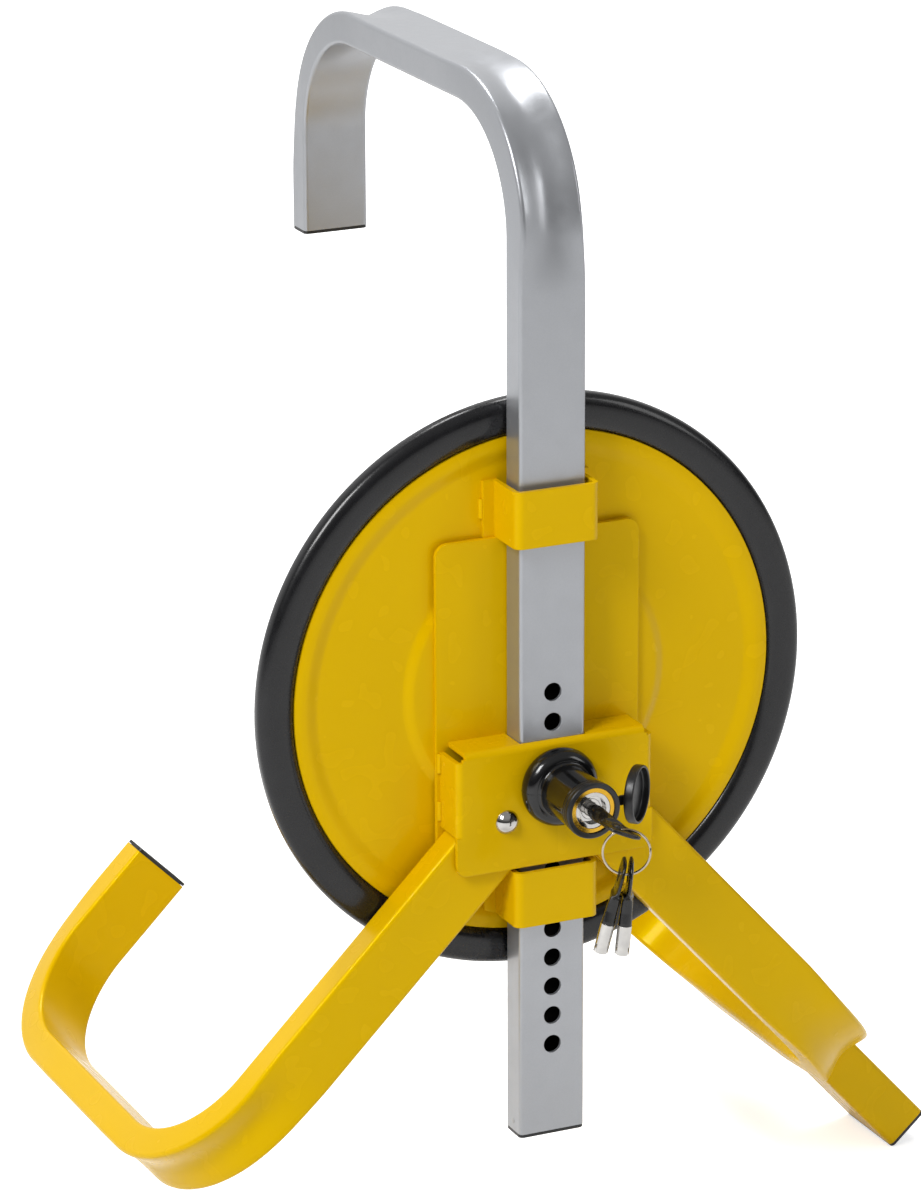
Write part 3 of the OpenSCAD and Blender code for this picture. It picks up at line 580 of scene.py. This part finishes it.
def rounded(corners, steps=8):
    """Polyline through corners (r, f, radius) whose corners are rounded to their radii.

    Each corner becomes an arc that leaves its sides at the distance radius / tan(half its angle).
    """
    points = np.array([c[:2] for c in corners], float)
    out = [points[0]]
    for a, b, c, radius in zip(points[:-2], points[1:-1], points[2:], [c[2] for c in corners[1:-1]]):
        if radius == 0:
            out.append(b)
            continue
        u, v = (a - b) / np.linalg.norm(a - b), (c - b) / np.linalg.norm(c - b)
        half = math.acos(np.clip(u @ v, -1, 1)) / 2
        reach = radius / math.tan(half)
        middle = b + (u + v) / np.linalg.norm(u + v) * radius / math.sin(half)
        start, end = b + u * reach - middle, b + v * reach - middle
        sweep = math.pi - 2 * half
        for w in (sweep * i / steps for i in range(steps + 1)):
            out.append(middle + (start * math.sin(sweep - w) + end * math.sin(w)) / math.sin(sweep))
    out.append(points[-1])
    return np.array(out)


def superpower(v, exponent):
    """|v| to the exponent, with v's sign. It turns a circle's cos and sin into a superellipse's."""
    return np.sign(v) * np.abs(v) ** exponent


# %% [markdown]
# The disc is one pressed sheet, 2 mm thick: a raised middle of 78 mm radius, a smooth slope 8 mm
# wide, a flat field, and a rim that rolls forward beside the ring before it runs under it.

# %% Disc
FIELD_FRONT, MIDDLE_DROP, RIM_RISE, SHEET = 0.0155, 0.0025, 0.0020, 0.002


def disc_front(r):
    """Front of the disc: the field, plus a cosine step to the middle and smooth steps at the rim."""
    slope = (1 + np.cos(np.pi * np.clip((r - 0.078) / 0.008, 0, 1))) / 2
    rim = smooth((r - 0.1380) / 0.0100) - 0.25 * smooth((r - 0.1495) / 0.005)
    return FIELD_FRONT + MIDDLE_DROP * slope + RIM_RISE * rim


r = np.concatenate([np.linspace(0.01, 0.076, 5), np.linspace(0.078, 0.086, 15),
                    np.linspace(0.09, 0.137, 5), np.linspace(0.1380, 0.1538, 33)])
front = np.stack([r, disc_front(r)], -1)
back = np.stack([r, disc_front(r) - SHEET], -1)[r < 0.150][::-1]
edge = [(0.1542, 0.0165), (0.1542, 0.0105), (0.165, 0.0105), (0.165, 0.0085), (0.1506, 0.0085),
        (0.1506, 0.0125)]
disc = closed_tube("disc_sheet", revolve(np.concatenate([front, edge, back])), "yellow_paint", "clamp_body")
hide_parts("wheel_disc")

# %% [markdown]
# The rubber's section is rounder than a box and squarer than an ellipse, so it is a superellipse:
# |r / 11.3|^2.6 + |f / 7.5|^2.6 = 1 about (165.2, 12.2) mm.

# %% Rubber ring
RUBBER_MIDDLE, RUBBER_HALF, RUBBER_POWER = (0.1652, 0.0122), (0.0113, 0.0075), 2.6
t = np.linspace(0, 2 * np.pi, 64, endpoint=False)
grid = revolve(np.stack([
    middle + half * superpower(wave, 2 / RUBBER_POWER)
    for middle, half, wave in zip(RUBBER_MIDDLE, RUBBER_HALF, (np.cos(t), np.sin(t)))], -1))
ring = closed_ring("ring_skin", grid, "ring_rubber", "clamp_body")
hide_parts("rim_ring")

# %% [markdown]
# The lock's shroud is moulded in an upper and a lower half, so a fine ridge runs along its left and
# right sides, where the halves of the mould met. The ridge is a small bump exp(-(t / width)^2) in
# the turning angle t, and extra angles are added there to carry it.

# %% Lock shroud
LOCK_Z, HOUSING_FRONT, BARREL_FRONT = -0.0547, 0.0454, 0.0969
COLLAR_BACK = BARREL_FRONT - 0.0072
RIDGE_HEIGHT, RIDGE_WIDTH = 0.00016, 0.009  # in metres and in radians


def shroud_profile():
    """Flared foot, quarter-ellipse dome, waisted barrel, then the bore back to the start.

    Dome: r = 17.5 + 6.5 cos t, f = 5.5 + 8 sin t, in mm from the axis and from the housing.
    Barrel: r = 16.2 + 0.6 t - 0.4 sin(pi t), which is slightly waisted.
    """
    t = np.linspace(0, 1, 8, endpoint=False)
    foot = np.stack([0.024 - 0.002 * (1 - t) ** 2, HOUSING_FRONT + 0.0055 * t], -1)
    t = np.linspace(0, np.pi / 2, 14)
    dome = np.stack([0.0175 + 0.0065 * np.cos(t), HOUSING_FRONT + 0.0055 + 0.008 * np.sin(t)], -1)
    t = np.linspace(0, 1, 20)
    start = HOUSING_FRONT + 0.0155
    barrel = np.stack([0.0162 + 0.0006 * t - 0.0004 * np.sin(np.pi * t),
                       start + (COLLAR_BACK - start) * t], -1)
    neck = np.array([[0.01685, HOUSING_FRONT + 0.0139], [0.01642, HOUSING_FRONT + 0.0146]])
    bore = np.array([[0.0151, COLLAR_BACK], [0.0151, BARREL_FRONT - 0.0005],
                     [0.01385, BARREL_FRONT - 0.0005], [0.01385, HOUSING_FRONT]])
    return np.concatenate([foot, dome, neck, barrel, bore])


ridge = np.linspace(-0.03, 0.03, 13)
angles = np.unique(np.concatenate([np.linspace(0, 2 * np.pi, 144, endpoint=False), np.pi + ridge,
                                   ridge % (2 * np.pi)]))
lift = RIDGE_HEIGHT * sum(np.exp(-((angles - middle) / RIDGE_WIDTH) ** 2) for middle in (0, np.pi, 2 * np.pi))
grid = revolve(shroud_profile(), LOCK_Z, angles)
outward = np.stack([np.cos(angles), 0 * angles, np.sin(angles)], -1)
grid[:-4] += outward * lift[:, None]  # the bore's four rings stay plain
shroud = closed_ring("shroud_skin", grid, "shroud_plastic", "clamp_body")
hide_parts("lock_shroud")

# %% [markdown]
# ## Rubber collar, strap and dust cap
#
# A collar snaps round the barrel's front and carries a strap with the dust cap on its end, moulded
# as one length of rubber. The strap crosses the fold, so it is made in two halves that meet there,
# one on each body. The moving half's end is slanted so that it can close on the fixed half.

# %% Collar and its half of the strap
FOLD = np.array([0.0204, -0.0871])
STRAP_HIGH, STRAP_THICK, STRAP_CORNER = 0.006, 0.002, 0.0006


def strap_half(start, end, slant=0.0):
    """Strap half from start to end, both (x, y). Its start slants by slant over its thickness."""
    z, y = tube_section(STRAP_HIGH, STRAP_THICK, STRAP_CORNER, flat_steps=4, corner_steps=4)
    slanted = start[0] + slant * (y + STRAP_THICK / 2) / STRAP_THICK
    return np.stack([np.stack([slanted, start[1] + y, LOCK_Z + z], -1),
                     np.stack([np.full_like(y, end[0]), end[1] + y, LOCK_Z + z], -1)])


collar_profile = rounded([
    (0.0152, COLLAR_BACK, 0), (0.0169, COLLAR_BACK, 0.0007), (0.0169, 0.0926, 0.0003),
    (0.0164, 0.0929, 0.0002), (0.0164, 0.0934, 0.0002), (0.0172, 0.0937, 0.0004),
    (0.0172, 0.0969, 0.0012), (0.0139, 0.0969, 0.0003), (0.0139, 0.0964, 0), (0.0152, 0.0964, 0),
    (0.0152, COLLAR_BACK, 0)], 5)
collar = closed_ring("collar", revolve(collar_profile[:-1], LOCK_Z), "cap_rubber", "clamp_body")
strap = closed_tube("collar_strap", strap_half((0.0162, -0.0912), FOLD), "cap_rubber", "clamp_body")
for piece in (collar, strap):
    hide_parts("cap_tether")

# %% Dust cap and its half of the strap
CAP_YAW, CAP_DEPTH = math.radians(44), 0.006
CAP_MOUTH = np.array([0.0373, -0.0838])
axis = np.array([math.cos(CAP_YAW), -math.sin(CAP_YAW), 0])
side = np.array([math.sin(CAP_YAW), math.cos(CAP_YAW), 0])
back = np.array([*CAP_MOUTH, LOCK_Z]) - CAP_DEPTH * axis
cup_profile = rounded([(0.002, 0, 0), (0.0175, 0, 0.0016), (0.0175, CAP_DEPTH, 0.0008),
                       (0.0157, CAP_DEPTH, 0.0006), (0.0157, 0.0018, 0.001), (0.002, 0.0018, 0)], 6)
t = np.linspace(0, 2 * np.pi, 128, endpoint=False)[:, None]
r, h = cup_profile.T[:, :, None, None]
grid = back + axis * h + side * (r * np.cos(t)) + np.array([0, 0, 1]) * (r * np.sin(t))
cup = closed_tube("cap_cup", grid, "cap_rubber", "cap_on_strap")
strap = closed_tube("cap_strap", strap_half(FOLD + (0.0001, 0), (0.0262, FOLD[1]), 0.0008),
                    "cap_rubber", "cap_on_strap")
for piece in (cup, strap):
    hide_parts("dust_cap")

# %% [markdown]
# ## Keys and their ring
#
# A key's grip is moulded round a steel tube: a collar, a waist, and a flat bow with a hole. Extruding
# an outline would leave its faces flat, so it is a loft: at height h above the tube's tip its section
# is a superellipse |x / a|^n + |y / b|^n = 1 with its own half width a, half thickness b and
# exponent n. The hole is cut with an hourglass, which rounds its edges.

# %% Places of the keys and the ring
KEY_START, KEY_TURN, RING_YAW = 0.0834, math.radians(24), math.radians(24.5)
BOW_HOLE, KEY_LENGTH, RING_R = 0.010, 0.0585, 0.01375
HOLE = np.array([0, -0.1319, LOCK_Z])
RING_CENTRE = (0.003435, -0.013314)
WIRE_SLACK = 0.00095


def turned(angle, axis):
    """Rotation matrix by angle about axis 0, 1 or 2."""
    c, k = math.cos(angle), math.sin(angle)
    m = np.eye(3)
    i, j = (axis + 1) % 3, (axis + 2) % 3
    m[i, i] = m[j, j] = c
    m[i, j], m[j, i] = -k, k
    return m


def spare(at, lean, radius=RING_R, centre=RING_CENTRE, hole=HOLE, to_end=BOW_HOLE, length=KEY_LENGTH):
    """Rotation and place of a key that hangs on the ring, at an angle from the ring's bottom."""
    on_ring = np.array([centre[0] + radius * math.sin(at), 0, centre[1] - radius * math.cos(at)])
    rotation = turned(-RING_YAW, 2) @ turned(lean, 1)
    start = np.array([0, 0, to_end - length - WIRE_SLACK])
    return rotation @ turned(math.pi / 2, 2), hole + turned(-RING_YAW, 2) @ on_ring + rotation @ start


# %% Grips
NECK_END, BOW_START = 36, 38  # mm above the tip


def grip_grid(thin, shoulder, around=64):
    """Rings of the grip, in mm from the tube's tip, from the tube to the bow's round end.

    thin scales the bow's half thickness b, and shoulder scales a and b below the bow. h, a, b and n
    list the sections where the form changes, and straight lines run between them.
    """
    h = np.array([16, 16.01, 16.6, 20, 26, 31, 34.5, 37, 39, 41, 43.5, 47, 51, 54, 56, 57.3, 58.1, 58.45])
    a = np.array([3.6, 4.4, 4.7, 4.5, 3.5, 3.5, 4.4, 6.6, 9.2, 11.0, 11.8, 12.0, 11.9, 11.2, 9.9, 8.3,
                  6.5, 4.6])
    b = np.array([3.6, 4.4, 4.7, 4.6, 4.1, 3.9, 3.6, 3.2, 2.8, 2.5, 2.3, 2.2, 2.2, 2.1, 2.0, 1.8, 1.4, 0.7])
    n = np.array([2, 2, 2, 2.2, 2.6, 2.8, 3, 3, 3, 3, 3, 3, 3, 3, 3, 2.8, 2.5, 2.2])
    b = np.where(h > BOW_START, b * thin, b)
    a, b = (np.where(h < NECK_END, v * shoulder, v) for v in (a, b))
    fine = np.unique(np.concatenate([h, np.linspace(16.6, 57.3, 60)]))
    a, b, n = (np.interp(fine, h, v)[:, None] for v in (a, b, n))
    t = np.linspace(0, 2 * np.pi, around, endpoint=False)
    x, y = a * superpower(np.cos(t), 2 / n), b * superpower(np.sin(t), 2 / n)
    return np.stack([x, y, fine[:, None] + 0 * x], -1) * MM


def bow_hourglass():
    """Hourglass through the bow: r = 3.0 mm + 2.0 mm (y / 1.6 mm)^2."""
    y = (np.linspace(-2.2, 2.2, 13) * MM)[:, None]
    t = np.linspace(0, 2 * np.pi, 40, endpoint=False)
    r = (3.0 + 2.0 * (y / 0.0016) ** 2) * MM
    return np.stack([r * np.cos(t), y + 0 * t, KEY_LENGTH - BOW_HOLE + r * np.sin(t)], -1)


inserted = (turned(KEY_TURN, 1) @ turned(math.pi / 2, 0), np.array([0, -KEY_START, LOCK_Z]))
keys = {"key_bow": ("inserted_key", inserted),
        "spare_key_a_bow": ("spare_key_a", spare(math.radians(-12), math.radians(14))),
        "spare_key_b_bow": ("spare_key_b", spare(math.radians(9.5), math.radians(5.5)))}
for node, (body, (rotation, start)) in keys.items():
    # The spare keys' necks are slimmer, so that they clear each other as they swing.
    shares = (0.68, 1.0) if node == "key_bow" else (0.66, 0.86)
    grip = closed_tube(node + "_grip", grip_grid(*shares) @ rotation.T + start, "key_plastic", body)
    cut_away(grip, [new_cutter("bow_cut", [bow_hourglass() @ rotation.T + start], "key_plastic")], 50)
    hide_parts(node)

# %% [markdown]
# ## Parts that keep the solid's shape
#
# Straps, housing, lock parts, end caps and welds need no new surface, only other places or
# proportions. A CAD node's own mesh is never changed, so each of these is a copy of it: moved
# rigidly, or stretched with straight-line maps from old to new x, f or z.


# %% Reshaped copies
def reshaped(node, change, slot, rides=True):
    """Copy of a node's mesh with its points changed, riding the same body and replacing the node."""
    source = frame["nodes"][node]
    mesh = source.data.copy()
    points = np.empty(len(mesh.vertices) * 3)
    mesh.vertices.foreach_get("co", points)
    points = change(points.reshape(-1, 3))
    mesh.vertices.foreach_set("co", np.ascontiguousarray(points).ravel())
    mesh.update()
    mesh.shade_smooth()
    mesh.set_sharp_from_angle(angle=math.radians(30))
    mesh.materials.clear()
    mesh.materials.append(MATERIALS[slot])
    piece = add_object(node + "_shape", mesh)
    if rides:
        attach(piece, source["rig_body"])
    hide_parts(node)
    print(piece.name + ":", len(mesh.polygons), "faces")
    return piece


def stretch(x=None, f=None, z=None):
    """Change that maps |x|, front f and z, each by a pair of lists in millimetres."""
    def change(points):
        points = points.copy()
        if x:
            points[:, 0] = np.sign(points[:, 0]) * np.interp(np.abs(points[:, 0]) / MM, *x) * MM
        if f:
            points[:, 1] = -np.interp(-points[:, 1] / MM, *f) * MM
        if z:
            points[:, 2] = np.interp(points[:, 2] / MM, *z) * MM
        return points
    return change


# %% Straps, housing and lock
strap_x = ([0, 18, 20.3, 23.3, 36.3], [0, 21.7, 24, 27, 34])
strap_f = ([0, 15.5, 18.5, 40, 46.3], [0, 15.5, 18.5, 42.5, 48.8])
reshaped("upper_strap", stretch(strap_x, strap_f, ([94, 128], [93.5, 128])), "yellow_paint")
reshaped("lower_strap", stretch(strap_x, strap_f, ([-137.9, -103.9], [-141.3, -106.8])), "yellow_paint")
reshaped("lock_housing", stretch(x=([0, 18, 20, 24, 28, 100], [0, 18, 21.3, 25, 28, 100]),
                                 z=([-101.7, -90, 0], [-104.2, -90, 0])), "yellow_paint")
reshaped("backing_plate", stretch(z=([-101.7, -90, 93.8], [-104.2, -90, 93.8])), "yellow_paint")
reshaped("lock_sleeve", stretch(f=([0, 60, 80, 95], [0, 60, 85.6, 100.6])), "sleeve_brass")
reshaped("lock_cylinder", stretch(f=([0, 75, 85, 120], [0, 75, 90.6, 125.6])), "chrome_plate")
reshaped("key_plug", stretch(f=([0, 75, 84, 120], [0, 75, 89.6, 125.6])), "chrome_plate")
reshaped("key_shaft", stretch(f=([80, 82, 100, 120], [81.4, 83.4, 101.4, 121.4])), "chrome_plate")

# %% [markdown]
# The spare keys' steel tubes move with their grips. The solids' ring has other sizes than the new
# one, so the old place of each key is worked out from those: the ring's wire rests in the inserted
# key's hole, and the ring hangs from there along the bow's slope.

# %% The spare keys' tubes
SOLID_RING_R, SOLID_WIRE_R, SOLID_BOW_HALF, SOLID_GAP = 0.01425, 0.00075, 0.0015, 0.0009
bow_slope = math.atan(math.cos(RING_YAW) * math.tan(math.radians(21)))
drop = SOLID_RING_R - (SOLID_BOW_HALF + SOLID_WIRE_R + SOLID_GAP)
half = math.sqrt(SOLID_RING_R ** 2 - drop ** 2)
SOLID_RING = {"radius": SOLID_RING_R, "hole": np.array([0, -0.133, LOCK_Z]), "to_end": 0.009,
              "length": 0.060,
              "centre": (half * math.cos(bow_slope) - drop * math.sin(bow_slope),
                         -half * math.sin(bow_slope) - drop * math.cos(bow_slope))}


def moved(new, old):
    """Rigid change that takes a piece from its old rotation and place to the new ones."""
    turn = new[0] @ old[0].T
    return lambda points: (points - old[1]) @ turn.T + new[1]


for node, at, lean in (("spare_key_a_shaft", -12, 14), ("spare_key_b_shaft", 9.5, 5.5)):
    hang = math.radians(at), math.radians(lean)
    reshaped(node, moved(spare(*hang), spare(*hang, **SOLID_RING)), "chrome_plate")


# %% End caps
SOLID_WIDTH = 0.040  # of all the tubes in the solids


def on_wider_arm(name):
    """Change that widens an end cap as its arm is widened, about the arm's centre line."""
    slope, base_x, base_z, side, width, shift, _ = ARMS[name]
    c, k = cos_sin(slope)

    def change(points):
        across = side * (points[:, 0] - base_x) * k + (points[:, 2] - base_z) * c
        more = across * (width / SOLID_WIDTH - 1) + shift
        return points + np.stack([side * k * more, 0 * more, c * more], -1)
    return change


for name in ("left_arm", "right_arm"):
    reshaped(name + "_cap", on_wider_arm(name), "cap_plastic")
half_bar, half_solid = BAR_WIDTH / 2 / MM, SOLID_WIDTH / 2 / MM
wider = stretch(x=([0, half_solid, half_solid + 10], [0, half_bar, half_bar + 10]))
reshaped("hook_cap", wider, "cap_plastic")
reshaped("bar_foot_cap", wider, "cap_plastic")
reshaped("foot_cap_rivet", wider, "plain_steel")

# %% [markdown]
# The plunger spring is squeezed as the cylinder goes in: its back end rests in the sleeve and its
# front end moves with the cylinder. A spring that rode on one body would leave the other, so its
# copy rides on neither body and stays where the solid has it.

# %% Spring
spring = reshaped("plunger_spring", lambda points: points, "spring_steel", rides=False)
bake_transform(spring)


# %% Weld beads and rivets
def nearer_feet(points):
    """Weld beads at the straps' feet stand 2.3 mm nearer the bar."""
    at_feet = (np.abs(points[:, 0]) > 0.0345) & (np.abs(points[:, 2]) > 0.0925)
    points = points.copy()
    points[:, 0] -= np.where(at_feet, 0.0023 * np.sign(points[:, 0]), 0.0)
    return points


reshaped("weld_beads", nearer_feet, "yellow_paint")
reshaped("arm_rivets", stretch(f=([0, 45.4, 49.9], [0, 45.4, 50.4])), "chrome_plate")

# %% [markdown]
# ## Split ring
#
# The ring is a split ring of two flat coils of wire, with the step from one coil to the other near
# its ends. A torus would show one round wire, so the wire's section is carried along both turns.

# %% Split ring
COIL_START, COIL_END, STEP_LENGTH = 0.2, 4 * np.pi - 0.1, 0.45  # radians round the ring
COIL_STEP, WIRE_HALF_WIDE, WIRE_HALF_THICK = 0.0008, 0.00066, 0.00036


def split_ring(around=16):
    """Two coils of flat wire, 1.3 mm wide in the ring's plane and 0.7 mm thick across it."""
    t = np.linspace(COIL_START, COIL_END, 360)[:, None]
    across = COIL_STEP / 2 * (2 * smooth((t - 2 * np.pi + 0.1) / STEP_LENGTH) - 1)
    s = np.linspace(0, 2 * np.pi, around, endpoint=False)
    r = RING_R + WIRE_HALF_WIDE * superpower(np.cos(s), 0.7)
    n = across + WIRE_HALF_THICK * superpower(np.sin(s), 0.7)
    return np.stack([RING_CENTRE[0] + r * np.cos(t), n, RING_CENTRE[1] + r * np.sin(t)], -1)


grid = split_ring() @ turned(-RING_YAW, 2).T + HOLE
coils = closed_tube("ring_coils", grid, "ring_wire", "split_ring")
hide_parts("key_ring")

# %% [markdown]
# ## Room
#
# The clamp stands in a white studio. A floor lit brightly enough to be white would also light the
# clamp from below, so the floor is pale and plain, and it glows only for the camera and through
# glass, and weakly for mirrors. It glows more with its distance from the clamp, so that it shades
# the clamp's foot and ends in white, as a curved backdrop does.

# %% Floor
FLOOR_HALF, FLOOR_Z, MIRROR_SHARE = 30, cad_bounds[0][2], 0.3
floor_mesh = bpy.data.meshes.new("floor")
floor_mesh.from_pydata([(x * FLOOR_HALF, y * FLOOR_HALF, FLOOR_Z)
                        for x, y in ((-1, -1), (1, -1), (1, 1), (-1, 1))], [], [(0, 1, 2, 3)])
floor = add_object("floor", floor_mesh)
floor_material, tree, shader, place = new_material("pale_floor", Roughness=0.9, Specular_IOR_Level=0.1,
                                                   Emission_Color=(1, 1, 1, 1), Base_Color=linear("E6E6E6"))
rays = add_node(tree, "ShaderNodeLightPath").outputs
mirrored = add_node(tree, "ShaderNodeMath", {0: rays["Is Glossy Ray"], 1: MIRROR_SHARE},
                    operation="MULTIPLY").outputs[0]
seen = add_node(tree, "ShaderNodeMath", {0: rays["Is Camera Ray"], 1: mirrored},
                operation="MAXIMUM").outputs[0]
seen = add_node(tree, "ShaderNodeMath", {0: seen, 1: rays["Is Transmission Ray"]},
                operation="MAXIMUM").outputs[0]
away = add_node(tree, "ShaderNodeVectorMath", {0: place}, operation="LENGTH").outputs["Value"]
glow = add_node(tree, "ShaderNodeMapRange", {"Value": away, "From Min": 0.6, "From Max": 2.2,
                                             "To Min": 0.62, "To Max": 1.0}).outputs["Result"]
strength = add_node(tree, "ShaderNodeMath", {0: seen, 1: glow}, operation="MULTIPLY").outputs[0]
tree.links.new(strength, shader.inputs["Emission Strength"])
floor_mesh.materials.append(floor_material)
floor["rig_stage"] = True
print("floor at z =", round(FLOOR_Z, 4))

# %% [markdown]
# The sky is what the chrome and the gloss mirror. It is dark near the user's horizon, as behind a
# studio camera, and bright above and behind, which gives the bright metal its dark parts.

# %% Sky
world = bpy.data.worlds.new("studio")
bpy.context.scene.world = world
world.use_nodes = True
sky_tree = world.node_tree
background = sky_tree.nodes["Background"]
background.inputs["Color"].default_value = (1, 1, 1, 1)
direction = add_node(sky_tree, "ShaderNodeSeparateXYZ", {
    "Vector": add_node(sky_tree, "ShaderNodeTexCoord").outputs["Generated"]})
above = add_node(sky_tree, "ShaderNodeMapRange", {
    "Value": direction.outputs["Z"], "From Min": 0.1, "From Max": 0.6, "To Min": 0.04, "To Max": 0.40})
behind = add_node(sky_tree, "ShaderNodeMapRange", {
    "Value": direction.outputs["Y"], "From Min": 0.0, "From Max": 0.4, "To Min": 0.0, "To Max": 0.85})
sky = add_node(sky_tree, "ShaderNodeMath", {
    0: above.outputs["Result"], 1: behind.outputs["Result"]}, operation="MAXIMUM").outputs[0]
sky_tree.links.new(sky, background.inputs["Strength"])
print("sky nodes:", len(sky_tree.nodes))

# %% [markdown]
# Three large soft lamps, as a studio has: the key lamp from the user's upper left, a weak fill from
# the right, and one above and behind that lights the tops.


# %% Lamps
def facing(right, up, behind, place):
    """Matrix of a lamp or camera at place, from its right, its up and the direction behind it."""
    rows = [[right[i], up[i], behind[i], place[i]] for i in range(3)]
    return Matrix(rows + [[0, 0, 0, 1]])


def lamp(name, place, target, width, height, watts):
    """Soft area lamp at place, turned to target."""
    light = bpy.data.lights.new(name, "AREA")
    light.shape, light.size, light.size_y, light.energy = "RECTANGLE", width, height, watts
    holder = add_object(name, light)
    behind = np.array(place, float) - np.array(target, float)
    behind /= np.linalg.norm(behind)
    right = np.cross((0, 0, 1), behind)
    right /= np.linalg.norm(right)
    holder.matrix_world = facing(right, np.cross(behind, right), behind, place)
    print(name, "lamp:", watts, "W")


lamp("key", (-2.2, -1.2, 2.2), (0, 0, 0), 1.0, 1.2, 78)
lamp("fill", (2.2, -1.9, 1.2), (0, 0, 0), 0.8, 1.4, 12)
lamp("top", (0.4, 1.2, 2.6), (0, 0.1, 0), 1.4, 0.8, 42)

# %% [markdown]
# The camera stands 3.1 m away with a long lens, so that lines which run away from it hardly draw
# together. Its focal length is 4.4 times as long as its sensor is high.

# %% Camera
SENSOR, FOCAL_SHARE = 36, 5260.25 / 1200
CAMERA_PLACE = (-1.25735, -2.6685, 1.0152)
yaw, pitch, roll = (math.radians(v) for v in (24.515, 18.195, -0.245))
forward = np.array([math.sin(yaw) * math.cos(pitch), math.cos(yaw) * math.cos(pitch), -math.sin(pitch)])
level = np.array([math.cos(yaw), -math.sin(yaw), 0.0])
upward = np.cross(level, forward)
right = math.cos(roll) * level + math.sin(roll) * upward
up = math.cos(roll) * upward - math.sin(roll) * level
camera_data = bpy.data.cameras.new("camera")
camera_data.sensor_width, camera_data.lens = SENSOR, FOCAL_SHARE * SENSOR
camera = add_object("camera", camera_data)
camera.matrix_world = facing(right, up, -forward, CAMERA_PLACE)
bpy.context.scene.camera = camera
print("lens:", round(camera_data.lens, 1), "mm")

# %% View and sizes
bpy.context.scene.view_settings.view_transform = "Standard"
as_lists = lambda bounds: [[float(v) for v in corner] for corner in bounds]
{"cad": as_lists(cad_bounds), "visual": as_lists(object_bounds())}
